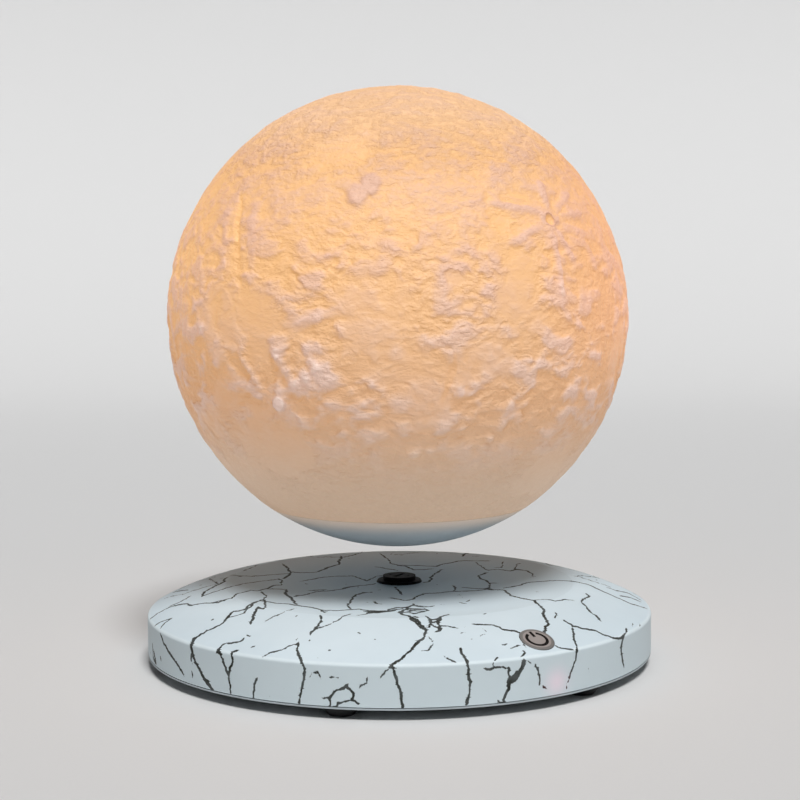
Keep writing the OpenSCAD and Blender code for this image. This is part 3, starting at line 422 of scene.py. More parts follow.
# ---------------------------------------------------------------------------
# Node trees
# ---------------------------------------------------------------------------
class Wire:
    """A socket that can be used in sums, each of which adds its node to the tree."""

    def __init__(self, bench, socket):
        self.bench = bench
        self.socket = socket

    def sum(self, operation, *parts):
        vector = any(isinstance(part, tuple) for part in parts) or any(
            part.socket.type != "VALUE" for part in parts if isinstance(part, Wire))
        kind = "ShaderNodeVectorMath" if vector else "ShaderNodeMath"
        return self.bench.node(kind, {"operation": operation}, dict(enumerate(parts)))

    def __add__(self, other):
        return self.sum("ADD", self, other)

    def __radd__(self, other):
        return self.sum("ADD", other, self)

    def __sub__(self, other):
        return self.sum("SUBTRACT", self, other)

    def __rsub__(self, other):
        return self.sum("SUBTRACT", other, self)

    def __mul__(self, other):
        return self.sum("MULTIPLY", self, other)

    def __rmul__(self, other):
        return self.sum("MULTIPLY", other, self)

    def __truediv__(self, other):
        return self.sum("DIVIDE", self, other)

    def __rtruediv__(self, other):
        return self.sum("DIVIDE", other, self)

    def __abs__(self):
        return self.sum("ABSOLUTE", self)

    def least(self, other):
        return self.sum("MINIMUM", self, other)

    def most(self, other):
        return self.sum("MAXIMUM", self, other)

    def over(self, limit):
        return self.sum("GREATER_THAN", self, limit)


class Bench:
    """A node tree being built."""

    def __init__(self, tree):
        self.tree = tree

    def fill(self, socket, value):
        if isinstance(value, Wire):
            self.tree.links.new(value.socket, socket)
            return
        if socket.type in ("VECTOR", "RGBA"):
            value = tuple(value) if hasattr(value, "__len__") else (value,) * 3
        if socket.type == "RGBA" and len(value) == 3:
            value = (*value, 1.0)
        socket.default_value = value

    def find(self, sockets, key):
        if isinstance(key, int):
            return sockets[key]
        return next(s for s in sockets if key in (s.identifier, s.name))

    def node(self, kind, settings=None, sockets=None, out=0):
        """Adds a node: its settings first, then the values or links of its sockets."""
        made = self.tree.nodes.new(kind)
        for name, value in (settings or {}).items():
            setattr(made, name, value)
        for key, value in (sockets or {}).items():
            self.fill(self.find(made.inputs, key), value)
        return Wire(self, self.find(made.outputs, out)) if made.outputs else made

    def noise(self, place, scale, detail=3.0, roughness=0.5, out=0):
        sockets = {"Vector": place, "Scale": scale, "Detail": detail, "Roughness": roughness}
        return self.node("ShaderNodeTexNoise", None, sockets, out)

    def cells(self, place, scale, feature="F1"):
        """A cell pattern: the distance from the cell's middle, and its random colour."""
        distance = self.node("ShaderNodeTexVoronoi", {"feature": feature},
                             {"Vector": place, "Scale": scale})
        if feature != "F1":
            return distance, None
        return distance, Wire(self, distance.socket.node.outputs["Color"])

    def ease(self, value, low, high, start=0.0, end=1.0):
        """Turns smoothly from start to end while value goes from low to high."""
        sockets = {"Value": value, "From Min": low, "From Max": high,
                   "To Min": start, "To Max": end}
        return self.node("ShaderNodeMapRange", {"interpolation_type": "SMOOTHSTEP"}, sockets)

    def blend(self, share, first, second):
        """A colour between two, by share."""
        sockets = {"Factor_Float": share, "A_Color": first, "B_Color": second}
        return self.node("ShaderNodeMix", {"data_type": "RGBA"}, sockets, "Result_Color")

    def part(self, vector, axis):
        return self.node("ShaderNodeSeparateXYZ", None, {0: vector}, axis)

    def join(self, x, y, z):
        return self.node("ShaderNodeCombineXYZ", None, {0: x, 1: y, 2: z})

    def vector_sum(self, operation, sockets, out=0):
        return self.node("ShaderNodeVectorMath", {"operation": operation}, sockets, out)

    def scaled(self, vector, amount):
        return self.vector_sum("SCALE", {0: vector, "Scale": amount})

    def length(self, vector):
        return self.vector_sum("LENGTH", {0: vector}, "Value")

    def dot(self, one, other):
        return self.vector_sum("DOT_PRODUCT", {0: one, 1: other}, "Value")


def material(name, build, *looks):
    """A material. Its build function gets the bench and looks, and returns the shader's sockets."""
    made = bpy.data.materials.new(name)
    made.use_nodes = True
    made.node_tree.nodes.clear()
    bench = Bench(made.node_tree)
    surface = bench.node("ShaderNodeBsdfPrincipled", None, build(bench, *looks))
    bench.node("ShaderNodeOutputMaterial", None, {"Surface": surface})
    return made


def object_place(bench):
    return bench.node("ShaderNodeTexCoord", out="Object")


def bump(bench, height, depth):
    sockets = {"Height": height, "Distance": depth, "Strength": 1.0}
    return bench.node("ShaderNodeBump", None, sockets, "Normal")


def shade(colour, amount):
    """A darker or lighter tone of a colour."""
    return tuple(amount * part for part in colour)


def plain(vector):
    """A vector of numpy's as a tuple of numbers."""
    return tuple(float(part) for part in vector)


# ---------------------------------------------------------------------------
# Meshes
# ---------------------------------------------------------------------------
def new_piece(name, points, faces, finish):
    """A smooth-shaded mesh object, with its finish."""
    mesh = bpy.data.meshes.new(name)
    mesh.from_pydata([tuple(p) for p in points], [], [tuple(f) for f in faces])
    mesh.update()
    mesh.materials.append(finish)
    piece = bpy.data.objects.new(name, mesh)
    bpy.context.scene.collection.objects.link(piece)
    mesh.shade_smooth()
    return piece


def settle(piece, body, node):
    """Puts a finished piece on its body, in place of its plain solid."""
    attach(piece, body)
    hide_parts(node)


def lathe(section, count):
    """Points and faces of a section of (radius, height) turned round. Radius 0 makes a pole."""
    points, rows = [], []
    for r, z in section:
        if r < 1e-9:
            rows.append([len(points)] * count)
            points.append((0.0, 0.0, z))
        else:
            rows.append(list(range(len(points), len(points) + count)))
            turns = np.arange(count) * 2 * math.pi / count
            points += [(r * math.cos(a), r * math.sin(a), z) for a in turns]
    faces = []
    for low, high in zip(rows, rows[1:]):
        for i in range(count):
            j = (i + 1) % count
            face = list(dict.fromkeys((low[i], low[j], high[j], high[i])))
            if len(face) > 2:
                faces.append(face)
    return points, faces


def outwards(piece, sharp=None):
    """Turns a closed mesh's faces outwards and keeps the edges sharper than an angle crisp."""
    shape = bmesh.new()
    shape.from_mesh(piece.data)
    bmesh.ops.remove_doubles(shape, verts=shape.verts, dist=1e-7)
    bmesh.ops.recalc_face_normals(shape, faces=shape.faces)
    shape.to_mesh(piece.data)
    shape.free()
    piece.data.shade_smooth()
    if sharp is not None:
        piece.data.set_sharp_from_angle(angle=math.radians(sharp))
    return piece


def rounding(x, z, radius, start, end, steps):
    """Points of an arc in the plane of radius and height. Angles are counted from up, clockwise."""
    return [(x + radius * math.sin(a), z + radius * math.cos(a))
            for a in np.linspace(math.radians(start), math.radians(end), steps + 1)]


def grow(piece, tree, **values):
    """Runs a geometry tree on a piece, with its inputs by name, and keeps the plain mesh."""
    modifier = piece.modifiers.new(tree.name, "NODES")
    modifier.node_group = tree
    for item in tree.interface.items_tree:
        if item.in_out == "INPUT" and item.name in values:
            modifier[item.identifier] = values[item.name]
    result = piece.evaluated_get(bpy.context.evaluated_depsgraph_get())
    mesh = bpy.data.meshes.new_from_object(result)
    piece.modifiers.remove(modifier)
    old = piece.data
    piece.data = mesh
    bpy.data.meshes.remove(old)
    return piece


def geometry_tree(name, **inputs):
    """An empty geometry tree with named inputs. Returns its bench, its inputs and the last step."""
    tree = bpy.data.node_groups.new(name, "GeometryNodeTree")
    face = tree.interface
    face.new_socket("Geometry", in_out="INPUT", socket_type="NodeSocketGeometry")
    for label, kind in inputs.items():
        face.new_socket(label, in_out="INPUT", socket_type=kind)
    face.new_socket("Material", in_out="INPUT", socket_type="NodeSocketMaterial")
    face.new_socket("Geometry", in_out="OUTPUT", socket_type="NodeSocketGeometry")
    bench = Bench(tree)
    entry = bench.node("NodeGroupInput").socket.node
    given = {s.name: Wire(bench, s) for s in entry.outputs if s.name}

    def close(geometry):
        real = bench.node("GeometryNodeRealizeInstances", None, {"Geometry": geometry})
        finish = bench.node("GeometryNodeSetMaterial", None,
                            {"Geometry": real, "Material": given["Material"]})
        bench.node("NodeGroupOutput", None, {"Geometry": finish})
        return tree

    return bench, given, close


def circle_tree():
    """Repeats the piece evenly on a circle round the axis."""
    bench, given, close = geometry_tree(
        "Repeat on a circle", Count="NodeSocketInt", Radius="NodeSocketFloat",
        Start="NodeSocketFloat", Height="NodeSocketFloat")
    line = bench.node("GeometryNodeMeshLine", {"mode": "OFFSET"}, {"Count": given["Count"]})
    index = bench.node("GeometryNodeInputIndex")
    turn = given["Start"] + index * (2 * math.pi) / given["Count"]
    sine = bench.node("ShaderNodeMath", {"operation": "SINE"}, {0: turn})
    cosine = bench.node("ShaderNodeMath", {"operation": "COSINE"}, {0: turn})
    place = bench.join(given["Radius"] * sine, given["Radius"] * cosine * -1.0, given["Height"])
    points = bench.node("GeometryNodeSetPosition", None, {"Geometry": line, "Position": place})
    sockets = {"Points": points, "Instance": given["Geometry"], "Rotation": bench.join(0, 0, turn)}
    return close(bench.node("GeometryNodeInstanceOnPoints", None, sockets))


# ---------------------------------------------------------------------------
# Where the photograph's pixels lie on the lamp
# ---------------------------------------------------------------------------
def camera_matrix():
    """Where the camera stands and looks."""
    lean = Matrix.Rotation(math.pi / 2 - CAMERA_PITCH, 4, "X")
    roll = Matrix.Rotation(CAMERA_ROLL, 4, "Z")
    return Matrix.Translation((CAMERA_SIDE, -CAMERA_BACK, CAMERA_UP)) @ (lean @ roll)


def sight_line(x, y):
    """Start and direction of the line of sight through a pixel."""
    view = camera_matrix()
    middle = FRAME_PX / 2
    ray = view.to_3x3() @ Vector(((x - middle) / FOCAL_PX, (middle - y) / FOCAL_PX, -1.0))
    return np.array(view.translation), np.array(ray.normalized())


def top_of_base(r):
    """The height of the base's top at a radius."""
    if r < PLATEAU_R:
        return PLATEAU_Z
    return SHOULDER_Z + math.sqrt(max(SHOULDER_R**2 - (r - SHOULDER_X) ** 2, 0.0))


def on_base(x, y):
    """The point on the base's outside that a pixel shows."""
    start, ray = sight_line(x, y)
    far = CAMERA_BACK - 1.2 * BASE_R
    step = 0.2 * MM

    def inside(t):
        p = start + t * ray
        r = math.hypot(p[0], p[1])
        return r < BASE_R and p[2] < top_of_base(r)

    while not inside(far) and far < 2 * CAMERA_BACK:
        far += step
    near = far - step
    for _ in range(12):
        middle = (near + far) / 2
        near, far = (near, middle) if inside(middle) else (middle, far)
    return start + far * ray


def on_moon(x, y):
    """The direction from the moon's centre of the point that a pixel shows."""
    start, ray = sight_line(x, y)
    from_centre = start - np.array(MOON_CENTRE)
    along = from_centre @ ray
    short = along**2 - (from_centre @ from_centre - MOON_R**2)
    hit = from_centre + (-along - math.sqrt(max(short, 0.0))) * ray
    return plain(hit / np.linalg.norm(hit))


# ---------------------------------------------------------------------------
# Base: top shell with its veins
# ---------------------------------------------------------------------------
class Skin:
    """One side of the top shell, spread flat from pole to rim, so that lines can be drawn on it."""

    def __init__(self, inset, edge_r, foot_r, rim_r):
        reach = SHOULDER_R - inset
        top = PLATEAU_Z - inset
        side = BASE_R - inset
        start_r = SHOULDER_X + math.sqrt(reach**2 - (top - SHOULDER_Z) ** 2)
        round_x = side - edge_r
        round_z = SHOULDER_Z + math.sqrt((reach - edge_r) ** 2 - (round_x - SHOULDER_X) ** 2)
        first = math.atan2(start_r + CREASE_HALF - SHOULDER_X, top - SHOULDER_Z)
        last = math.atan2(round_x - SHOULDER_X, round_z - SHOULDER_Z)
        rows = [(r, top, 0.0) for r in np.linspace(0, start_r - CREASE_HALF, 9)]
        rows += [(SHOULDER_X + reach * math.sin(a), SHOULDER_Z + reach * math.cos(a), a)
                 for a in np.linspace(first, last, 13)]
        rows += [(round_x + edge_r * math.sin(a), round_z + edge_r * math.cos(a), a)
                 for a in np.linspace(last, math.pi / 2, 7)[1:]]
        rows += [(side, z, math.pi / 2) for z in np.linspace(round_z, SHELL_Z + foot_r, 6)[1:]]
        if foot_r:
            foot_z = SHELL_Z + foot_r
            rows += [(side - foot_r + foot_r * math.sin(a), foot_z + foot_r * math.cos(a), a)
                     for a in np.linspace(math.pi / 2, math.pi, 4)[1:]]
            rows.append((rim_r, SHELL_Z, math.pi))
        self.r, self.z, self.a = np.array(rows).T
        self.s = np.r_[0.0, np.cumsum(np.hypot(np.diff(self.r), np.diff(self.z)))]

    def lift(self, flat):
        """Points in space, and their outward normals, of points on the flat sheet."""
        flat = np.asarray(flat, float).reshape(-1, 2)
        s = np.hypot(flat[:, 0], flat[:, 1])
        turn = np.arctan2(flat[:, 0], -flat[:, 1])
        r, z, a = (np.interp(s, self.s, v) for v in (self.r, self.z, self.a))
        across = np.c_[np.sin(turn), -np.cos(turn)]
        return np.c_[across * r[:, None], z], np.c_[across * np.sin(a)[:, None], np.cos(a)]

    def lay(self, points):
        """Where points on the surface lie on the flat sheet."""
        points = np.asarray(points, float).reshape(-1, 3)
        here = np.c_[np.hypot(points[:, 0], points[:, 1]), points[:, 2]]
        start = np.c_[self.r, self.z][:-1]
        run = np.diff(np.c_[self.r, self.z], axis=0)
        size = np.hypot(run[:, 0], run[:, 1])
        along = ((here[:, None] - start) * run).sum(2) / size**2
        along = np.clip(along, 0, 1)
        off = np.linalg.norm(here[:, None] - start - along[..., None] * run, axis=2)
        best = off.argmin(1)
        s = self.s[best] + along[np.arange(len(here)), best] * size[best]
        turn = np.arctan2(points[:, 0], -points[:, 1])
        return np.c_[s * np.sin(turn), -s * np.cos(turn)]

    def ring(self, s, count):
        """Points round a ring of the flat sheet."""
        turn = np.arange(count) * 2 * math.pi / count
        return np.c_[s * np.sin(turn), -s * np.cos(turn)]

    def hole(self, centre, side, up, axis, radius, count):
        """The edge of a round hole bored along axis, on the flat sheet."""
        turn = np.arange(count) * 2 * math.pi / count
        points = centre + radius * (np.cos(turn)[:, None] * side + np.sin(turn)[:, None] * up)
        for _ in range(6):
            near, normal = self.lift(self.lay(points))
            move = ((near - points) * normal).sum(1) / (normal @ axis)
            points = points + move[:, None] * axis
        return self.lay(points)


class Hole:
    """A round hole through the shell."""

    def __init__(self, centre, axis, radius, count):
        self.centre = np.array(centre, float)
        self.axis = np.array(axis, float)
        self.radius = radius
        self.count = count
        self.side = np.cross((0.0, 0.0, 1.0), self.axis)
        if np.linalg.norm(self.side) < 1e-6:
            self.side = np.array((1.0, 0.0, 0.0))
        self.side /= np.linalg.norm(self.side)
        self.up = np.cross(self.axis, self.side)

    def holds(self, points, margin=0.0):
        """Which points lie in the hole, on its own side of the shell."""
        off = points - self.centre
        flat = np.hypot(off @ self.side, off @ self.up)
        return (flat < self.radius + margin) & (off @ self.axis > -HOLE_REACH)

    def off_edge(self, point):
        """How far a point lies off the hole's wall."""
        return abs(np.linalg.norm(np.cross(point - self.centre, self.axis)) - self.radius)

    def on(self, skin):
        """The hole's edge on the flat sheet of one side of the shell."""
        return skin.hole(self.centre, self.side, self.up, self.axis, self.radius, self.count)


def touch_frame():
    """The touch disc's centre, its sideways direction, the one to the hub and the outward one."""
    height = top_of_base(TOUCH_R)
    tilt = math.atan2(TOUCH_R - SHOULDER_X, height - SHOULDER_Z)
    out = np.array((math.sin(TOUCH_AZ), -math.cos(TOUCH_AZ), 0.0))
    normal = out * math.sin(tilt) + np.array((0, 0, math.cos(tilt)))
    to_hub = np.array((0, 0, math.sin(tilt))) - out * math.cos(tilt)
    return out * TOUCH_R + np.array((0, 0, height)), np.cross(to_hub, normal), to_hub, normal


def jagged(points, dice, step=0.85 * MM, sway=0.22 * MM):
    """A line through points, with small sideways jogs."""
    made = [np.array(points[0])]
    drift = 0.0
    for start, end in zip(points, points[1:]):
        run = end - start
        length = np.linalg.norm(run)
        if length < 1e-9:
            continue
        across = np.array((-run[1], run[0])) / length
        pieces = max(1, round(length / step))
        for k in range(1, pieces + 1):
            drift = 0.55 * drift + dice.gauss(0, sway)
            held = drift if k < pieces else 0.35 * drift
            made.append(start + run * k / pieces + across * held)
    return np.array(made)


def vein(line, strength, dice, fade_start=True, fade_end=True):
    """A vein: its points, and how strong it is at each, with paler stretches and thin ends."""
    count = len(line)
    wander, level = [], 0.0
    for _ in range(count):
        level = 0.7 * level + dice.gauss(0, 0.05)
        wander.append(level)
    made = strength * (1 + np.clip(wander, -0.22, 0.3))
    for _ in range(count // 14):
        gap = dice.randrange(count)
        made[gap:gap + 1 + dice.randrange(2)] *= 0.8
    thinned = (VEIN_END + VEIN_GAIN * np.arange(count)) * max(1.0, strength / FULL_VEIN)
    if fade_start:
        made = np.minimum(made, thinned)
    if fade_end:
        made = np.minimum(made, thinned[::-1])
    return line, made


def seen_veins(skin, dice):
    """The veins of the photograph, stronger where its slanted view of the base makes them thin."""
    camera = np.array(camera_matrix().translation)
    made = []
    for strength, pixels in VEINS_SEEN.values():
        flat = skin.lay([on_base(x, y) for x, y in pixels])
        line = jagged(list(flat), dice, sway=0.16 * MM)
        spots, normals = skin.lift(line)
        view = spots - camera
        view /= np.linalg.norm(view, axis=1)[:, None]
        run = np.gradient(spots, axis=0)
        run /= np.linalg.norm(run, axis=1)[:, None]
        thin = abs((view * normals).sum(1)) / np.linalg.norm(np.cross(run, view), axis=1)
        line, made_strength = vein(line, strength, dice)
        made.append((line, made_strength * (0.93 + 0.5 * (1 - np.clip(thin, 0, 1)))))
    return made


def round_middle(a, b, c):
    """The middle of the circle through three points."""
    double = 2 * (a[0] * (b[1] - c[1]) + b[0] * (c[1] - a[1]) + c[0] * (a[1] - b[1]))
    aa, bb, cc = a @ a, b @ b, c @ c
    x = aa * (b[1] - c[1]) + bb * (c[1] - a[1]) + cc * (a[1] - b[1])
    y = aa * (c[0] - b[0]) + bb * (a[0] - c[0]) + cc * (b[0] - a[0])
    return np.array((x, y)) / double


def crackle_veins(skin, dice, cell, keep):
    """Veins for the rest of the base, along the borders of irregular cells."""
    reach = skin.s[-2]
    seeds = []
    for _ in range(CELL_TRIES):
        spot = np.array((dice.uniform(-1, 1), dice.uniform(-1, 1))) * reach * 1.1
        if all(np.linalg.norm(spot - other) > cell for other in seeds):
            seeds.append(spot)
    sheet = [Vector(seed * SHEET_SCALE) for seed in seeds]
    points, _, faces, *_ = delaunay_2d_cdt(sheet, [], [], 0, 1e-4)
    middles, sides = [], {}
    for n, face in enumerate(faces):
        middles.append(round_middle(*(np.array(points[i]) / SHEET_SCALE for i in face)))
        for pair in ((face[0], face[1]), (face[1], face[2]), (face[2], face[0])):
            sides.setdefault(frozenset(pair), []).append(n)
    kept = []
    for ends in sides.values():
        if len(ends) == 2:
            one, two = (middles[n] for n in ends)
            if max(np.linalg.norm(one), np.linalg.norm(two)) < reach and dice.random() < keep:
                if not (shown_in_front(one) or shown_in_front(two)):
                    kept.append((ends, one, two))
    meets = {}
    for ends, _, _ in kept:
        for n in ends:
            meets[n] = meets.get(n, 0) + 1
    made = []
    for ends, one, two in kept:
        line = jagged([one, two], dice, sway=0.34 * MM)
        if len(line) > 2:
            strength = dice.choice((0.46, 0.5, 0.54, 0.58, 0.64))
            made.append(vein(line, strength, dice, meets[ends[0]] < 2, meets[ends[1]] < 2))
    return made


def shown_in_front(flat):
    """Whether the photograph shows this spot of the sheet well enough to read its veins."""
    if np.linalg.norm(flat) < PLATEAU_R:
        return flat[1] < 0.75 * PLATEAU_R
    return abs(math.atan2(flat[0], -flat[1])) < FRONT_HALF


def fleck_veins(skin, dice, count):
    """Short flecks, as the print has between its veins."""
    made = []
    for _ in range(count):
        s = skin.s[-2] * math.sqrt(dice.uniform(0.02, 0.97))
        turn = dice.uniform(-math.pi, math.pi)
        start = np.array((s * math.sin(turn), -s * math.cos(turn)))
        heading = dice.uniform(0, 2 * math.pi)
        length = dice.uniform(0.7, 2.2) * MM
        if shown_in_front(start):
            length *= 0.4
            if dice.random() > 0.3:
                continue
        end = start + length * np.array((math.cos(heading), math.sin(heading)))
        if max(np.linalg.norm(start), np.linalg.norm(end)) < skin.s[-2] - MM:
            made.append((np.array((start, (start + end) / 2, end)), np.array((0.4, 0.52, 0.4))))
    return made


def spread(skin, rings, holes, veins):
    """Triangles over one side of the shell, with the holes' edges and the veins as their lines."""
    points, edges, loops = [], [], []

    def add_line(line, closed, keep=None):
        first = len(points)
        points.extend(line)
        count = len(line)
        keep = np.ones(count, bool) if keep is None else keep
        for i in range(count if closed else count - 1):
            j = (i + 1) % count
            if keep[i] and keep[j]:
                edges.append((first + i, first + j))
        return list(range(first, first + count))

    def clear(line, margin):
        spots = skin.lift(line)[0]
        free = np.ones(len(line), bool)
        for hole in holes:
            free &= ~hole.holds(spots, margin)
        return free

    dropped = set()
    for s, count in rings:
        line = skin.ring(s, count)
        free = clear(line, RING_GAP)
        ids = add_line(line, True, free)
        dropped |= {ids[i] for i in np.flatnonzero(~free)}
        loops.append(ids)
    for hole in holes:
        loops.append(add_line(hole.on(skin), True))
    for line, _ in veins:
        free = clear(line, VEIN_GAP)
        ids = add_line(line, False, free)
        dropped |= {ids[i] for i in np.flatnonzero(~free)}
        run = np.gradient(line, axis=0)
        across = np.c_[-run[:, 1], run[:, 0]]
        across = across / np.maximum(np.hypot(run[:, 0], run[:, 1]), 1e-9)[:, None]
        for side in (-1, 1):
            border = line + side * VEIN_REACH * across
            on_sheet = np.hypot(border[:, 0], border[:, 1]) < rings[-1][0] - VEIN_GAP
            points.extend(border[on_sheet & clear(border, VEIN_GAP)])
    keep = [i for i in range(len(points)) if i not in dropped]
    place = {old: new for new, old in enumerate(keep)}
    sheet = [Vector(points[i] * SHEET_SCALE) for i in keep]
    lines = [(place[a], place[b]) for a, b in edges if a in place and b in place]
    made, _, faces, came_from, *_ = delaunay_2d_cdt(sheet, lines, [], 0, 1e-4)
    flat = np.array([tuple(p) for p in made]) / SHEET_SCALE
    out_of = {old: new for new, olds in enumerate(came_from) for old in olds}
    loops = [[out_of[place[i]] for i in ids if i in place] for ids in loops]
    corners = np.array(faces)
    middles = flat[corners].mean(1)
    inside = np.zeros(len(corners), bool)
    for hole in holes:
        inside |= hole.holds(skin.lift(middles)[0])
    return flat, corners[~inside], loops


def vein_values(flat, veins):
    """How strongly each point of the sheet is printed, from the nearest veins."""
    spots, strengths = [], []
    for line, strength in veins:
        for k in range(len(line) - 1):
            for t in (0.0, 0.25, 0.5, 0.75):
                spots.append(line[k] * (1 - t) + line[k + 1] * t)
                strengths.append(strength[k] * (1 - t) + strength[k + 1] * t)
        spots.append(line[-1])
        strengths.append(strength[-1])
    tree = KDTree(len(spots))
    for i, spot in enumerate(spots):
        tree.insert((*spot, 0.0), i)
    tree.balance()
    values = np.zeros(len(flat))
    for n, point in enumerate(flat):
        for _, i, off in tree.find_range((*point, 0.0), VEIN_REACH):
            values[n] = max(values[n], strengths[i] * (1 - off / VEIN_REACH))
    return values


def marble_print(bench, look):
    """Pale glazed plastic with a ragged dark vein print and the indicator's light behind it, with
    painted shade on the flat top and the upright side and a painted highlight along the side's top
    edge.
    """
    place = object_place(bench)
    ink = bench.node("ShaderNodeAttribute", {"attribute_name": "vein"}, out="Fac")
    ragged = ink + (bench.noise(place, 1500, 3, 0.65) - 0.5) * 0.56
    ragged = ragged + (bench.noise(place, 420, 2) - 0.5) * 0.46
    line = bench.ease(ragged, 0.32, 0.42) * bench.ease(ink, 0.04, 0.16)
    worn = bench.ease(bench.noise(place, 260, 3), 0.3, 0.7, 0.9, 1.0)
    cloud = bench.ease(bench.noise(place, 24, 4, 0.6), 0.3, 0.7)
    drift = bench.ease(bench.noise(place + (0.3, 0.1, 0.7), 60, 5, 0.6), 0.35, 0.75)
    ground = bench.blend(cloud, look.marble, look.marble_shade)
    ground = bench.blend(drift * 0.35, ground, shade(look.marble, 0.93))
    # painted shade: the flat top is drawn darker than the shoulder, for the less light that falls on
    # it
    radius = bench.length(place * (1.0, 1.0, 0.0))
    flat_top_shade = bench.ease(radius, PLATEAU_R - 0.3 * MM, PLATEAU_R + 0.6 * MM, 0.8, 0.0)
    ground = bench.blend(flat_top_shade, ground, shade(look.marble_shade, 0.94))
    # painted shade: the upright side gets a greyer colour for the dimmer, floor-lit light that
    # reaches it
    upright = bench.ease(bench.part(place, 2), SIDE_TOP_Z + 0.4 * MM, SIDE_TOP_Z - 0.8 * MM)
    ground = bench.blend(upright * 0.7, ground, look.marble_side_shade)
    # painted highlight: a pale line along the side's top edge, where the rounded edge catches the
    # light
    edge = bench.ease(abs(bench.part(place, 2) - SIDE_TOP_Z), 0.1 * MM, 0.6 * MM, 0.5, 0.0)
    ground = bench.blend(edge, ground, look.marble_edge_highlight)
    faded = bench.blend(bench.noise(place, 600, 2), look.vein, shade(look.vein, 1.7))
    colour = bench.blend(line * worn, ground, faded)
    lamp = (BASE_R * math.sin(LED_AZ), -BASE_R * math.cos(LED_AZ), LED_Z)
    near = bench.length(place - lamp)
    glow = bench.ease(near, 0.0, look.glow_reach, 1.0, 0.0)
    grain = bench.noise(place, 2600, 2)
    peel = bench.noise(place, 520, 2) * 0.6 + grain * 0.25 - line * 0.35
    return {
        "Base Color": colour,
        "Roughness": bench.ease(grain + line * 0.5, 0.2, 1.1, 0.44, 0.60),
        "Emission Color": bench.blend(glow * glow, (0.0, 0.0, 0.0), look.glow),
        "Emission Strength": 1.0,
        "Specular IOR Level": 0.12,
        "Normal": bump(bench, peel, 0.00003),
    }


def shell_walls(outer_holes, inner_holes, first):
    """Faces from the holes' edges outside to those inside, whose points are counted from first."""
    walls = []
    for top, low in zip(outer_holes, inner_holes):
        for i in range(len(top)):
            j = (i + 1) % len(top)
            walls.append((top[i], first + low[i], first + low[j], top[j]))
    return walls


def turn_walls_in(mesh, first_wall, holes):
    """Turns the walls of the holes so that they face into the opening."""
    turned = []
    for face in mesh.polygons[first_wall:]:
        middle = np.array(face.center)
        hole = min(holes, key=lambda hole: hole.off_edge(middle))
        off = middle - hole.centre
        off -= (off @ hole.axis) * hole.axis
        if np.array(face.normal) @ off > 0:
            turned.append(face.index)
    for index in turned:
        mesh.polygons[index].flip()
    mesh.update()


def shell_normals(mesh, normals, under_normals, first_under, first_wall):
    """A normal for each face's corner: the skin's on both sides, and the face's own elsewhere."""
    made = []
    for face in mesh.polygons:
        for i in face.vertices:
            if face.index < first_under:
                made.append(tuple(normals[i]))
            elif face.index < first_wall and i >= len(normals):
                made.append(tuple(-under_normals[i - len(normals)]))
            else:
                made.append(tuple(face.normal))
    return made


def drop_lone_points(mesh):
    """Deletes the points that no face uses, such as those inside the holes."""
    used = np.unique([i for face in mesh.polygons for i in face.vertices])
    lone = np.setdiff1d(np.arange(len(mesh.vertices)), used)
    shape = bmesh.new()
    shape.from_mesh(mesh)
    shape.verts.ensure_lookup_table()
    bmesh.ops.delete(shape, geom=[shape.verts[i] for i in lone], context="VERTS")
    shape.to_mesh(mesh)
    shape.free()


def build_top_shell(look):
    """The top shell: both sides of its wall, the walls of its holes and the vein print."""
    dice = random.Random(look.vein_seed)
    outer = Skin(0.0, EDGE_R, SHELL_FOOT_R, BASE_R - SHELL_WALL)
    inner = Skin(SHELL_WALL, INNER_EDGE_R, 0.0, BASE_R - SHELL_WALL)
    centre, _, _, normal = touch_frame()
    holes = [
        Hole((0, 0, PLATEAU_Z), (0, 0, 1), HUB_HOLE_R, 48),
        Hole(centre, normal, TOUCH_HOLE_R, 72),
        Hole((0, BASE_R, JACK_Z), (0, 1, 0), JACK_HOLE_R, 64),
    ]
    fine = [(s, int(np.clip(2 * math.pi * s / RING_STEP, RING_LEAST, RIM_COUNT)))
            for s in outer.s[1:-1]]
    fine.append((outer.s[-1], RIM_COUNT))
    coarse = [(s, INNER_COUNT) for s in inner.s[1:-1]] + [(inner.s[-1], RIM_COUNT)]
    veins = seen_veins(outer, dice)
    veins += crackle_veins(outer, dice, look.vein_cell, look.vein_share)
    veins += fleck_veins(outer, dice, look.fleck_count)
    flat, faces, loops = spread(outer, fine, holes, veins)
    under, under_faces, under_loops = spread(inner, coarse, holes, [])
    points, normals = outer.lift(flat)
    under_points, under_normals = inner.lift(under)
    first = len(points)
    # both sides share the points of the rim
    join = {first + b: a for a, b in zip(loops[len(fine) - 1], under_loops[len(coarse) - 1])}
    under_faces = [[join.get(i, i) for i in face[::-1]] for face in (under_faces + first).tolist()]
    walls = shell_walls(loops[len(fine):], under_loops[len(coarse):], first)
    first_wall = len(faces) + len(under_faces)
    finish = material("marble print", marble_print, look)
    piece = new_piece("top_shell_marbled", np.vstack((points, under_points)),
                      faces.tolist() + under_faces + walls, finish)
    mesh = piece.data
    turn_walls_in(mesh, first_wall, holes)
    corner_normals = shell_normals(mesh, normals, under_normals, len(faces), first_wall)
    values = np.zeros(len(mesh.vertices))
    values[:first] = vein_values(flat, veins)
    ink = mesh.attributes.new("vein", "FLOAT", "POINT")
    ink.data.foreach_set("value", values.astype(np.float32))
    mesh.normals_split_custom_set(corner_normals)
    drop_lone_points(mesh)
    settle(piece, "base", "base_top_shell")


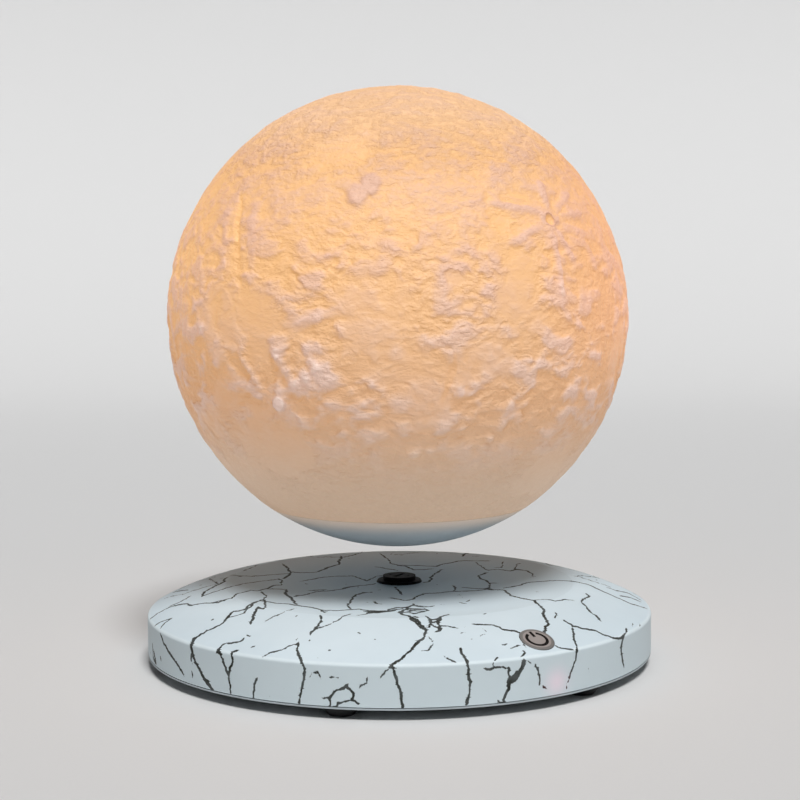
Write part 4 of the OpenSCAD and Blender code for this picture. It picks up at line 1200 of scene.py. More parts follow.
# ---------------------------------------------------------------------------
# Base: touch disc and feet
# ---------------------------------------------------------------------------
def touch_plastic(bench, look):
    """Fine satin plastic with a darker ring at its edge."""
    place = object_place(bench)
    centre, _, _, normal = touch_frame()
    off = place - plain(centre)
    axis = plain(normal)
    along = bench.dot(off, axis)
    out = bench.length(off - bench.scaled(axis, along))
    grain = bench.noise(place, 5200, 3, 0.6)
    rim = bench.ease(out, TOUCH_DISC_R - 1.05 * MM, TOUCH_DISC_R - 0.9 * MM)
    ground = bench.blend(bench.noise(place, 380, 3), look.touch, shade(look.touch, 0.9))
    return {
        "Base Color": bench.blend(rim, ground, look.touch_rim),
        "Metallic": 0.15,
        "Roughness": bench.ease(grain, 0.2, 0.8, 0.4, 0.56),
        "Normal": bump(bench, grain, 0.000008),
    }


def build_touch_disc(look):
    """The touch disc, turned about its own axis and set into the shoulder."""
    centre, side, to_hub, normal = touch_frame()
    top = 0.095 * MM
    low = -2.55 * MM
    section = [(0, low), (TOUCH_DISC_R, low), (TOUCH_DISC_R, -0.12 * MM)]
    section += rounding(TOUCH_DISC_R - 0.2 * MM, -0.1 * MM, 0.2 * MM, 90, 0, 4)
    section += [(TOUCH_DISC_R - 0.42 * MM, TOUCH_PROUD - 0.02 * MM),
                (TOUCH_DISC_R - 0.52 * MM, top), (0, top)]
    points, faces = lathe(section, TOUCH_COUNT)
    turn = Matrix((side, to_hub, normal)).transposed()
    points = [turn @ Vector(p) + Vector(centre) for p in points]
    finish = material("touch plastic", touch_plastic, look)
    piece = new_piece("touch_disc_satin", points, faces, finish)
    settle(outwards(piece, 50), "base", "touch_disc")


def soft_rubber(bench):
    """Matt black rubber with some dust."""
    place = object_place(bench)
    grain = bench.noise(place, 2400, 4, 0.65)
    dust = bench.ease(bench.noise(place, 300, 4), 0.45, 0.8)
    return {
        "Base Color": bench.blend(dust * 0.5, (0.008, 0.008, 0.009), (0.035, 0.034, 0.033)),
        "Roughness": bench.ease(grain, 0.2, 0.8, 0.62, 0.85),
        "Normal": bump(bench, grain, 0.00006),
    }


def build_feet():
    """The rubber feet, repeated on their circle."""
    edge = 0.3 * MM
    section = [(0, 0.15 * MM), (FOOT_BOTTOM_R - 1.0 * MM, 0.12 * MM), (FOOT_BOTTOM_R - 0.8 * MM, 0)]
    section += rounding(FOOT_BOTTOM_R - edge * 0.6, edge, edge, 180, 112, 4)
    section += [(FOOT_TOP_R - 0.2 * MM, FOOT_H - 0.4 * MM), (FOOT_TOP_R, FOOT_H - 0.15 * MM),
                (FOOT_TOP_R, FOOT_H + FOOT_RECESS), (0, FOOT_H + FOOT_RECESS)]
    finish = material("soft rubber", soft_rubber)
    piece = outwards(new_piece("feet_moulded", *lathe(section, FOOT_POINTS), finish), 45)
    grow(piece, circle_tree(), Count=FOOT_COUNT, Radius=FOOT_CIRCLE_R, Start=FOOT_FIRST_AZ,
         Height=0.0, Material=finish)
    settle(piece, "base", "rubber_feet")


# ---------------------------------------------------------------------------
# Moon: relief, glow and shell
# ---------------------------------------------------------------------------
def cratered(bench, place, scale, share, width):
    """Random pits with raised rims, one to a cell. Height in parts of the pit's own radius."""
    distance, colour = bench.cells(place, scale)
    chance = bench.part(colour, 0)
    there = bench.part(colour, 1).over(1 - share)
    radius = (chance * 0.7 + 0.3) * width
    return pit(distance / radius) * radius * there


def pit(reach):
    """A pit's height over its radius: a bowl inside 1, and a rim round it."""
    bowl = (1 - reach * reach).most(0.0)
    rim = (1 - abs(reach - 1.08) * 2.6).most(0.0)
    return rim * rim * 0.34 - bowl * 0.5


def bank(bench, out, start, end, half, height):
    """A bank or groove along the line from start to end."""
    start, end = np.array(on_moon(*start)), np.array(on_moon(*end))
    middle = (start + end) / 2
    length = float(np.linalg.norm(end - start)) / 2
    run = (end - start) / (2 * length)
    across = np.cross(run, middle / np.linalg.norm(middle))
    off = out - plain(middle)
    along = abs(bench.dot(off, plain(run)))
    wide = abs(bench.dot(off, plain(across)))
    near = bench.ease(along, length * 0.45, length * 1.2, height, 0.0)
    front = bench.ease(bench.length(off), 0.5, 0.6, 1.0, 0.0)
    return bench.ease(wide, half * 0.35, half, 1.0, 0.0) * near * front


def twisted(bench, out, amount):
    """Shifts a direction a little, so that what is drawn from it gets an uneven outline."""
    return out + (bench.noise(out, 4.2, 2.5, 0.5, out=1) - (0.5, 0.5, 0.5)) * amount


def moon_marks(bench, out):
    """The height of the bumps, banks and grooves that the photograph shows."""
    near = twisted(bench, out, 0.05)
    marks = 0.0
    for middle, size, rise in BUMPS.values():
        reach = bench.length(near - on_moon(*middle))
        marks = marks + bench.ease(reach, size * 0.3, size, rise, 0.0)
    for start, end, half, rise in BANKS.values():
        marks = marks + bank(bench, near, start, end, half, rise)
    return marks


def moon_relief(bench, out):
    """The relief without its marks, from the direction out of the moon's centre.

    Returns its height, from 0 for thin wall to 1 for thick, its height without the smaller lumps,
    and how smooth the place is."""
    place = twisted(bench, out, 0.14)
    near = twisted(bench, out, 0.05)
    up = bench.part(out, 2)
    flatter = place * (1.0, 1.0, 1.5)
    plains = bench.ease(bench.noise(place + (3.1, 0.7, 1.9), 1.9, 3), 0.56, 0.64) * 0.8
    shore = (bench.noise(out, 11.0, 5, 0.6) - 0.5) * 1.7
    for middle, size in PLAINS.values():
        reach = bench.length(near - on_moon(*middle)) / size + shore
        plains = plains.most(bench.ease(reach, 0.45, 1.0, 1.0, 0.0))
    far = bench.length(near - on_moon(*RAYED_PIT))
    rough = (1 - plains * 0.85) * bench.ease(up, -0.70, -0.32, 0.25, 1.0)
    swell = bench.noise(place, 3.0, 3, 0.5)
    clumps = bench.ease(bench.noise(flatter, 8.5, 2.3, 0.5), 0.40, 0.63)
    lumps = bench.ease(bench.noise(flatter + (1.7, 4.2, 0.3), 18.0, 1.8, 0.5), 0.38, 0.64)
    upright = bench.noise(near * (1.6, 1.6, 0.4) + (0.4, 0.2, 5.1), 19.0, 3, 0.5)
    upright = bench.ease(upright, 0.36, 0.66)
    at_side = bench.ease(abs(bench.part(out, 0)), 0.62, 0.86)
    lumps = lumps + (upright - lumps) * at_side
    pits = cratered(bench, place, 9.0, 0.45, 0.30) + cratered(bench, place, 21.0, 0.5, 0.34) * 0.6
    middle_band = bench.ease(up, 0.5, 0.1) * 0.75 + bench.ease(up, 0.55, 0.85) * 0.35
    middle_band = middle_band + at_side * 0.12 + 0.5
    tone = 0.34 + (swell - 0.5) * 0.5 - plains * 0.1 + (clumps - 0.45) * 0.40 * rough * middle_band
    tone = tone + bench.ease(far, 0.055, 0.036, 0.0, 1.0) * 0.16 + pit(far / 0.027) * 0.9
    oval = bench.length(near - on_moon(*DARK_OVAL))
    oval = oval.least(bench.length(near - on_moon(*DARK_OVAL_TIP)))
    tone = tone + bench.ease(oval, 0.03, 0.062, 0.5, 0.0)
    bright = bench.length(near - on_moon(*BRIGHT_PIT))
    tone = tone + pit(bright / 0.014) * 0.5 + bench.ease(bright, 0.02, 0.04, 0.9, 0.0)
    height = tone + (lumps - 0.45) * 0.24 * rough * middle_band + pits * 0.5 * rough
    return height.most(0.0).least(1.2), tone, plains


def relief_tree():
    """Pushes the globe's outer skin in and out by the relief."""
    bench, given, close = geometry_tree("Moon relief", Relief="NodeSocketFloat",
                                        Middle="NodeSocketFloat")
    off = bench.node("GeometryNodeInputPosition") - MOON_CENTRE
    size = bench.length(off)
    out = off / size
    marks = moon_marks(bench, out)
    marked = bench.node("GeometryNodeStoreNamedAttribute",
                        {"data_type": "FLOAT", "domain": "POINT"},
                        {"Geometry": given["Geometry"], "Name": "marks", "Value": marks})
    height = moon_relief(bench, out)[0] + marks * 2.0
    skin = size.over(MOON_R - 0.3 * MM)
    rest = bench.ease(bench.part(off, 2), SEAM_Z + 0.5 * MM, SEAM_Z + 9 * MM)
    push = out * ((height - given["Middle"]) * given["Relief"] * skin * rest)
    moved = bench.node("GeometryNodeSetPosition", None, {"Geometry": marked, "Offset": push})
    return close(moved)


def moon_glow(bench, look):
    """Printed plastic lit from inside: thin wall glows yellow, thick wall pink, the foot dimmer.
    Upward slopes get painted shading in the glow, the right side a painted orange glow and the
    highest bumps a painted highlight.
    """
    off = object_place(bench) - MOON_CENTRE
    out = off / bench.length(off)
    height, tone, plains = moon_relief(bench, out)
    marks = bench.node("ShaderNodeAttribute", {"attribute_name": "marks"}, out="Fac")
    up = bench.part(out, 2)
    side = bench.part(out, 0)
    scales = bench.ease(bench.noise(out * (1.0, 1.0, 1.8), 24, 4, 0.6), 0.36, 0.66)
    grit = bench.noise(out * (1.0, 1.0, 1.4), 62, 4, 0.62)
    specks = cratered(bench, out, 40.0, 0.45, 0.34)
    layers = bench.noise(out * (2.0, 2.0, 90.0), 6.0, 2)
    calm = bench.ease(plains, 0.0, 1.0, 1.0, 0.35) * bench.ease(up, -0.75, -0.4, 1.15, 1.0)
    calm = calm * bench.ease(up, 0.1, 0.5, 1.0, 0.7) * bench.ease(up, 0.5, 0.85, 1.0, 5.0)
    grain = scales * 0.36 + grit * 0.36 + specks * 0.6 + bench.noise(out, 190, 3, 0.6) * 0.12
    grain = grain * calm
    depth = height * look.relief_bump + grain * look.grain_bump + layers * 0.00004
    normal = bump(bench, depth, 1.0)
    # painted shading in the glow: slopes that face up are drawn brighter and those that face down
    # darker, as if lit from above; the grain term dims the glow where the wall is thicker
    slope = bench.part(normal, 2) - up
    light = (1 + slope * look.slope_light - (grain - 0.4 * calm) * look.grain_light).most(0.2)
    flecked = (scales - 0.5) * bench.ease(up, 0.1, 0.5, 0.06, 0.22)
    share = bench.ease(tone * 0.8 + height * 0.2 + marks + flecked, 0.08, 0.78)
    # painted highlight: the highest bumps of the middle band are turned whitish, as where light from
    # the front and above catches them
    peak = bench.ease(tone * 0.5 + height * 0.5 + marks, 0.66, 1.2)
    peak = peak * bench.ease(up, 0.45, 0.0) * bench.ease(up, -0.6, -0.3)
    low = bench.ease(up, 0.42, -0.42)
    bottom = bench.ease(up, -0.25, -0.72)
    lit = bench.blend(share, look.thin, look.thick)
    dull = bench.blend(share, look.low_thin, look.low_thick)
    glow = bench.blend(low, lit, dull)
    # painted glow: an orange band on the right side, for the deeper colour that the longer path
    # through the wall gives at the edge in view
    limb = bench.ease(side, 0.45, 0.95) * bench.ease(up, -0.4, 0.1) * 0.5
    glow = bench.blend(limb, glow, look.limb)
    glow = bench.blend(bench.ease(up, 0.62, 0.88) * 0.75, glow, look.crown)
    glow = bench.blend(bottom, glow, look.foot)
    wall = bench.blend(share, look.wall_thin, look.wall_thick)
    wall = bench.blend(low, wall, bench.blend(share, look.wall_low, look.wall_high))
    wall = bench.blend(bottom, wall, look.wall_foot)
    wall = bench.blend(peak, wall, look.wall_peak_highlight)
    return {
        "Base Color": wall,
        "Roughness": bench.ease(grit, 0.3, 0.7, 0.42, 0.60),
        "Emission Color": bench.scaled(glow, light),
        "Emission Strength": 1.0,
        "Normal": normal,
    }


def globe_skin(count, rows, radius):
    """A sphere without poles, open below the seam: its points, faces and the opening's ring."""
    spread_out = np.tan(np.linspace(-math.pi / 4, math.pi / 4, count + 1))
    points, faces = [], []
    sides = [((1, 0, 0), (0, 1, 0), (0, 0, 1)), ((-1, 0, 0), (0, -1, 0), (0, 0, 1)),
             ((0, 1, 0), (-1, 0, 0), (0, 0, 1)), ((0, -1, 0), (1, 0, 0), (0, 0, 1)),
             ((0, 0, 1), (1, 0, 0), (0, 1, 0))]
    for out, across, up in (tuple(np.array(v, float) for v in s) for s in sides):
        grid = out + spread_out[None, :, None] * across + spread_out[:, None, None] * up
        first = sum(len(p) for p in points)
        points.append(grid.reshape(-1, 3))
        step = count + 1
        corner = (np.arange(count)[:, None] * step + np.arange(count)[None, :]).ravel() + first
        faces.append(np.c_[corner, corner + 1, corner + step + 1, corner + step])
    cube = np.vstack(points)
    _, keep, back = np.unique(np.round(cube, 7), axis=0, return_index=True, return_inverse=True)
    cube = cube[keep]
    faces = back.ravel()[np.vstack(faces)]
    wide = np.maximum(abs(cube[:, 0]), abs(cube[:, 1]))
    edge = np.flatnonzero((abs(cube[:, 2] + 1) < 1e-6) & (abs(wide - 1) < 1e-6))
    edge = edge[np.argsort(np.arctan2(cube[edge, 1], cube[edge, 0]))]
    sphere = cube / np.linalg.norm(cube, axis=1)[:, None] * radius
    ring = sphere[edge]
    turn = np.arctan2(ring[:, 1], ring[:, 0])
    tilt = np.arccos(-ring[:, 2] / radius)
    seam = math.acos(-SEAM_Z / radius)
    total = len(sphere)
    before = edge
    all_points, all_faces = [sphere], [faces]
    for k in range(1, rows + 1):
        lean = tilt + (seam - tilt) * k / rows
        across = np.sin(lean)
        row = np.c_[across * np.cos(turn), across * np.sin(turn), -np.cos(lean)]
        all_points.append(radius * row)
        here = total + np.arange(len(edge))
        total += len(edge)
        all_faces.append(np.c_[before, here, np.roll(here, -1), np.roll(before, -1)])
        before = here
    return np.vstack(all_points), np.vstack(all_faces), before


def build_globe(look):
    """The globe's two skins, joined at the seam and pushed in and out by the relief."""
    outer, outer_faces, rim = globe_skin(GLOBE_CELLS, GLOBE_ROWS, MOON_R)
    inner, inner_faces, lip = globe_skin(GLOBE_INNER_CELLS, GLOBE_INNER_ROWS, MOON_R - MOON_WALL)
    first = len(outer)
    # the lip at the seam: a small chamfer, then flat to the inner skin
    chamfer = outer[rim].copy()
    outer[rim, 2] += SEAM_CHAMFER
    grown = np.sqrt(MOON_R**2 - outer[rim, 2] ** 2) / np.hypot(outer[rim, 0], outer[rim, 1])
    outer[rim, :2] *= grown[:, None]
    chamfer[:, :2] *= (SEAM_R - SEAM_CHAMFER) / SEAM_R
    edge = first + len(inner) + np.arange(len(rim))
    faces = outer_faces.tolist() + (inner_faces[:, ::-1] + first).tolist()
    faces += np.c_[rim, edge, np.roll(edge, -1), np.roll(rim, -1)].tolist()
    fold = len(rim) // len(lip)
    for j in range(len(lip)):
        here, after = first + lip[j], first + lip[(j + 1) % len(lip)]
        for k in range(fold):
            a, b = edge[fold * j + k], edge[(fold * j + k + 1) % len(edge)]
            faces.append((a, int(here), b) if k < fold - 1 else (a, int(here), int(after), b))
    points = np.vstack((outer, inner, chamfer)) + MOON_CENTRE
    finish = material("moon glow", moon_glow, look)
    piece = outwards(new_piece("globe_relief", points, faces, finish))
    grow(piece, relief_tree(), Relief=look.relief, Middle=RELIEF_MIDDLE, Material=finish)
    piece.data.shade_smooth()
    piece.data.set_sharp_from_angle(angle=math.radians(50))
    settle(piece, "moon", "moon_globe")


def cap_plastic(bench, look):
    """The unlit cap: smooth bluish plastic with faint print layers, and some light at the seam."""
    place = object_place(bench)
    off = place - MOON_CENTRE
    layers = bench.noise(off * (3.0, 3.0, 2600.0), 1.0, 2)
    cloud = bench.noise(place, 45, 4)
    grain = bench.noise(place, 1500, 3)
    # near the seam: painted warm light from the lit globe, as glow and also as a warmer base colour
    near = bench.ease(bench.part(off, 2), SEAM_Z - look.cap_bleed, SEAM_Z)
    glow = bench.blend(near * near, (0.0, 0.0, 0.0), look.cap_glow)
    cold = bench.blend(bench.ease(cloud, 0.3, 0.7), look.cap, shade(look.cap, 0.9))
    return {
        "Base Color": bench.blend(near, cold, look.cap_rim_warm_light),
        "Roughness": bench.ease(grain, 0.2, 0.8, 0.42, 0.56),
        "Emission Color": glow,
        "Emission Strength": 1.0,
        "Normal": bump(bench, layers * 0.5 + grain * 0.4, 0.00004),
    }


def build_cap(look):
    """The cap and the spigot that holds it in the globe."""
    inside = MOON_R - MOON_WALL
    top = SEAM_Z - SEAM_GAP
    rim_r = math.sqrt(MOON_R**2 - (top - SEAM_CHAMFER) ** 2)
    rim_turn = math.degrees(math.atan2(rim_r, top - SEAM_CHAMFER))
    foot_turn = 180 - math.degrees(math.asin((SPIGOT_R - SPIGOT_WALL) / inside))
    section = rounding(0, 0, MOON_R, 180, rim_turn, 30)
    spigot_z = SEAM_Z + SPIGOT_H
    section += [(rim_r - SEAM_CHAMFER, top), (SPIGOT_R, top), (SPIGOT_R, spigot_z - 0.3 * MM),
                (SPIGOT_R - 0.3 * MM, spigot_z), (SPIGOT_R - SPIGOT_WALL, spigot_z)]
    section += rounding(0, 0, inside, foot_turn, 180, 12)
    section[0] = (0, section[0][1])
    section[-1] = (0, section[-1][1])
    points, faces = lathe([(r, z + MOON_Z) for r, z in section], CAP_COUNT)
    piece = new_piece("cap_smooth", points, faces, material("cap plastic", cap_plastic, look))
    settle(outwards(piece, 35), "moon", "moon_bottom_cap")


# ---------------------------------------------------------------------------
# Finishes of the solids that stay as they are
# ---------------------------------------------------------------------------
def moulded(colour, rough, grain_depth=0.00002, gloss=0.5):
    """Moulded plastic: fine grain and a little unevenness."""
    def build(bench):
        place = object_place(bench)
        grain = bench.noise(place, 2800, 4, 0.6)
        cloud = bench.ease(bench.noise(place, 90, 4), 0.3, 0.7)
        return {
            "Base Color": bench.blend(cloud, colour, shade(colour, 0.82)),
            "Roughness": bench.ease(grain, 0.2, 0.8, rough - 0.08, rough + 0.1),
            "Specular IOR Level": gloss,
            "Normal": bump(bench, grain, grain_depth),
        }
    return build


def worked_metal(colour, rough):
    """Drawn or turned metal: fine streaks and a few dull marks."""
    def build(bench):
        place = object_place(bench)
        streaks = bench.noise(place * (1.0, 1.0, 14.0), 420, 4, 0.6)
        marks = bench.ease(bench.noise(place, 160, 4), 0.5, 0.75)
        return {
            "Base Color": bench.blend(marks * 0.5, colour, shade(colour, 0.7)),
            "Metallic": 1.0,
            "Roughness": bench.ease(streaks + marks * 0.3, 0.2, 1.0, rough, rough + 0.22),
            "Normal": bump(bench, streaks, 0.000012),
        }
    return build


def wound_copper(bench):
    """Enamelled wire laid turn on turn."""
    place = object_place(bench)
    turns = bench.node("ShaderNodeTexWave", {"wave_type": "BANDS", "bands_direction": "Z"},
                       {"Vector": place, "Scale": 620.0, "Distortion": 1.2, "Detail": 2.0})
    tone = bench.noise(place, 300, 3)
    return {
        "Base Color": bench.blend(tone, (0.42, 0.12, 0.035), (0.72, 0.27, 0.09)),
        "Metallic": 0.85,
        "Roughness": bench.ease(turns + tone, 0.3, 1.6, 0.24, 0.42),
        "Normal": bump(bench, turns, 0.00008),
    }


def ferrite_grain(bench):
    """Pressed and sintered ferrite: matt, with a fine glittering grain."""
    place = object_place(bench)
    grain, _ = bench.cells(place, 2600)
    chips = bench.ease(bench.noise(place, 240, 5, 0.65), 0.58, 0.72)
    return {
        "Base Color": bench.blend(chips, (0.035, 0.035, 0.038), (0.085, 0.083, 0.085)),
        "Roughness": bench.ease(grain, 0.1, 0.9, 0.48, 0.74),
        "Normal": bump(bench, grain + chips * 0.6, 0.00003),
    }


def circuit(mask, track):
    """A circuit board: lacquer over raised tracks, with bare pads."""
    def build(bench):
        place = object_place(bench)
        cell = place * (1.0, 1.0, 0.05)
        step, _ = bench.cells(cell, 420, "DISTANCE_TO_EDGE")
        lines = bench.ease(step, 0.05, 0.11, 1.0, 0.0)
        spot, _ = bench.cells(cell, 300)
        pads = bench.ease(spot, 0.1, 0.14, 1.0, 0.0)
        weave = bench.noise(place * (1.0, 6.0, 1.0), 500, 2)
        ground = bench.blend(lines, mask, track)
        return {
            "Base Color": bench.blend(pads, ground, (0.72, 0.62, 0.40)),
            "Roughness": bench.ease(weave, 0.2, 0.8, 0.26, 0.42),
            "Normal": bump(bench, lines * 0.5 + pads + weave * 0.15, 0.00003),
        }
    return build


def phosphor(bench):
    """The yellow layer over a light source."""
    place = object_place(bench)
    grain = bench.noise(place, 5200, 3)
    return {
        "Base Color": bench.blend(grain, (0.85, 0.62, 0.12), (0.95, 0.74, 0.24)),
        "Roughness": bench.ease(grain, 0.2, 0.8, 0.4, 0.6),
        "Emission Color": bench.blend(grain, (1.0, 0.66, 0.26), (1.0, 0.74, 0.36)),
        "Emission Strength": 1.5,
        "Normal": bump(bench, grain, 0.00002),
    }


def red_lens(bench):
    """Tinted clear plastic of the small indicator."""
    place = object_place(bench)
    haze = bench.noise(place, 900, 3)
    return {
        "Base Color": bench.blend(haze, (0.55, 0.01, 0.02), (0.75, 0.03, 0.05)),
        "Roughness": bench.ease(haze, 0.2, 0.8, 0.1, 0.24),
        "Emission Color": bench.blend(haze, (0.5, 0.03, 0.05), (0.8, 0.08, 0.1)),
        "Emission Strength": 0.6,
        "Normal": bump(bench, haze, 0.00001),
    }


def printed_ink(bench):
    """Dull black ink."""
    place = object_place(bench)
    grain = bench.noise(place, 4200, 3)
    return {
        "Base Color": bench.blend(grain, (0.004, 0.003, 0.003), (0.012, 0.01, 0.01)),
        "Roughness": bench.ease(grain, 0.2, 0.8, 0.5, 0.65),
        "Specular IOR Level": 0.1,
        "Normal": bump(bench, grain, 0.00001),
    }


# each finish: what makes its material, and the solids that get it
FINISHES = {
    "lacquered plate": (moulded((0.45, 0.51, 0.54), 0.5), ["base_bottom_plate"]),
    "black moulding": (moulded((0.008, 0.008, 0.009), 0.6, 0.00003, 0.06),
                       ["centre_hub", "dc_jack", "coil_bobbins", "touch_chips", "control_chips",
                        "hall_sensors", "receiver_chips"]),
    "white moulding": (moulded((0.78, 0.78, 0.75), 0.5),
                       ["hall_spacers", "coil_carrier", "magnet_tray", "magnet_retainer"]),
    "opal dome": (moulded((0.88, 0.86, 0.80), 0.4), ["led_diffuser"]),
    "bright steel": (worked_metal((0.60, 0.61, 0.62), 0.24),
                     ["bottom_screws", "hub_nut", "yoke_plate", "coil_cores", "board_screws",
                      "tray_screws", "receiver_screws"]),
    "nickel plate": (worked_metal((0.68, 0.65, 0.59), 0.16),
                     ["touch_spring", "dc_jack_pin", "float_magnet"]),
    "bare aluminium": (worked_metal((0.74, 0.75, 0.76), 0.3),
                       ["power_capacitors", "led_post", "receiver_capacitor"]),
    "turned brass": (worked_metal((0.70, 0.46, 0.17), 0.22), ["board_standoffs"]),
    "wound copper": (wound_copper,
                     ["coil_windings", "transmitter_coil", "receiver_coil", "receiver_leads"]),
    "sintered ferrite": (ferrite_grain, ["ring_magnet", "ferrite_sheet", "power_inductors"]),
    "green board": (circuit((0.012, 0.085, 0.035), (0.02, 0.14, 0.06)),
                    ["touch_board", "hall_board", "control_board", "receiver_board"]),
    "white board": (circuit((0.80, 0.80, 0.77), (0.88, 0.88, 0.86)), ["led_board"]),
    "wire sleeve": (moulded((0.48, 0.02, 0.02), 0.44), ["drive_leads", "led_leads"]),
    "phosphor": (phosphor, ["led_chips"]),
    "red lens": (red_lens, ["indicator_led"]),
    "printed ink": (printed_ink, ["touch_symbol"]),
}


def finish_solids():
    """Gives each solid that stays its finish."""
    for name, (build, nodes) in FINISHES.items():
        finish = material(name, build)
        for node in nodes:
            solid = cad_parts[node]
            if not solid.material_slots:
                raise RuntimeError(f"{node} has no material slot")
            for slot in solid.material_slots:
                slot.material = finish


# ---------------------------------------------------------------------------
# Stage
# ---------------------------------------------------------------------------
def floor_paper(bench, look):
    """Pale paper; its backdrop, beyond the floor, has some light behind it."""
    place = object_place(bench)
    grain = bench.noise(place, 900, 3)
    rise = bench.ease(bench.part(place, 1), 0.5, FLOOR_BACK + BACKDROP_R)
    above = bench.ease(bench.part(place, 2), BACKDROP_SHADE_Z, BACKDROP_SHADE_Z + 0.3)
    pale = bench.blend(grain, look.floor, shade(look.floor, 0.985))
    return {
        "Base Color": bench.blend(above, pale, (0.04, 0.04, 0.04)),
        "Roughness": bench.ease(grain, 0.2, 0.8, 0.8, 0.9),
        "Emission Color": bench.blend(rise * (1 - above), (0.0, 0.0, 0.0), (look.backdrop,) * 3),
        "Emission Strength": 1.0,
    }


def build_floor(look):
    """The floor, curved up into a backdrop."""
    ramp = [(y, 0.0) for y in (-FLOOR_HALF, 0.0, FLOOR_BACK)]
    ramp += [(FLOOR_BACK + BACKDROP_R * math.sin(a), BACKDROP_R * (1 - math.cos(a)))
             for a in np.linspace(0, math.pi / 2, 25)[1:]]
    ramp.append((FLOOR_BACK + BACKDROP_R, BACKDROP_TOP))
    points = [(x, y, z) for y, z in ramp for x in (-FLOOR_HALF, FLOOR_HALF)]
    faces = [(2 * n, 2 * n + 1, 2 * n + 3, 2 * n + 2) for n in range(len(ramp) - 1)]
    floor = new_piece("floor", points, faces, material("floor paper", floor_paper, look))


def build_lights(look):
    """Soft light from all round, and one wide main light."""
    scene = bpy.context.scene
    sky = bpy.data.worlds.new("Soft studio")
    sky.use_nodes = True
    background = sky.node_tree.nodes["Background"]
    background.inputs["Color"].default_value = (*look.sky, 1.0)
    background.inputs["Strength"].default_value = look.sky_strength
    scene.world = sky
    data = bpy.data.lights.new("key", "SUN")
    data.energy = look.key_power
    data.angle = look.key_spread
    key = bpy.data.objects.new("key", data)
    key.rotation_euler = Vector(KEY_FROM).to_track_quat("Z", "Y").to_euler()
    scene.collection.objects.link(key)


def build_camera():
    """The camera, where the photograph was taken from."""
    scene = bpy.context.scene
    data = bpy.data.cameras.new("photo view")
    data.sensor_width = SENSOR
    data.sensor_fit = "HORIZONTAL"
    data.lens = FOCAL_PX / FRAME_PX * SENSOR
    data.clip_start = 0.02
    data.clip_end = 20
    camera = bpy.data.objects.new("photo view", data)
    camera.matrix_world = camera_matrix()
    scene.collection.objects.link(camera)
    scene.camera = camera


def build_stage(look):
    """Floor, lights and camera, with colours shown as they are."""
    bpy.context.scene.view_settings.view_transform = "Standard"
    bpy.context.scene.view_settings.look = "None"
    build_floor(look)
    build_lights(look)
    build_camera()


# ---------------------------------------------------------------------------
# Settings
# ---------------------------------------------------------------------------
def colour_setting(name, description, default):
    return bpy.props.FloatVectorProperty(name=name, description=description, default=default,
                                         size=3, min=0.0, soft_max=1.0, subtype="COLOR")


def length_setting(name, description, default):
    return bpy.props.FloatProperty(name=name, description=description, default=default, min=0.0,
                                   precision=5, unit="LENGTH", subtype="DISTANCE")


def amount_setting(name, description, default):
    return bpy.props.FloatProperty(name=name, description=description, default=default, min=0.0)


class MoonLampBase(bpy.types.PropertyGroup):
    marble: colour_setting("Marble", "Ground colour of the base", (0.675, 0.785, 0.85))
    marble_shade: colour_setting("Marble shade", "Clouds in the ground", (0.625, 0.735, 0.80))
    # painted shade of the upright side
    marble_side_shade: colour_setting("Marble side", "Colour of the upright side", (0.615, 0.70, 0.73))
    # painted highlight along the side's top edge
    marble_edge_highlight: colour_setting("Marble edge", "Colour of the side's top edge", (0.84, 0.93, 0.96))
    vein: colour_setting("Vein", "Colour of the printed veins", (0.021, 0.022, 0.018))
    vein_seed: bpy.props.IntProperty(name="Vein seed", default=11,
                                     description="Which random veins the back has")
    vein_cell: length_setting("Vein spacing", "Least distance between two cells", 0.0125)
    vein_share: bpy.props.FloatProperty(name="Vein share", default=0.62, min=0.0, max=1.0,
                                        description="Share of the cell borders printed",
                                        subtype="FACTOR")
    fleck_count: bpy.props.IntProperty(name="Flecks", default=150, min=0,
                                       description="Number of short flecks")
    glow: colour_setting("Indicator glow", "Light of the indicator", (0.16, 0.02, 0.045))
    glow_reach: length_setting("Glow reach", "How far the indicator's light spreads", 0.009)
    touch: colour_setting("Touch disc", "Colour of the touch disc", (0.375, 0.345, 0.335))
    touch_rim: colour_setting("Touch disc edge", "Colour of the disc's ring", (0.20, 0.195, 0.19))


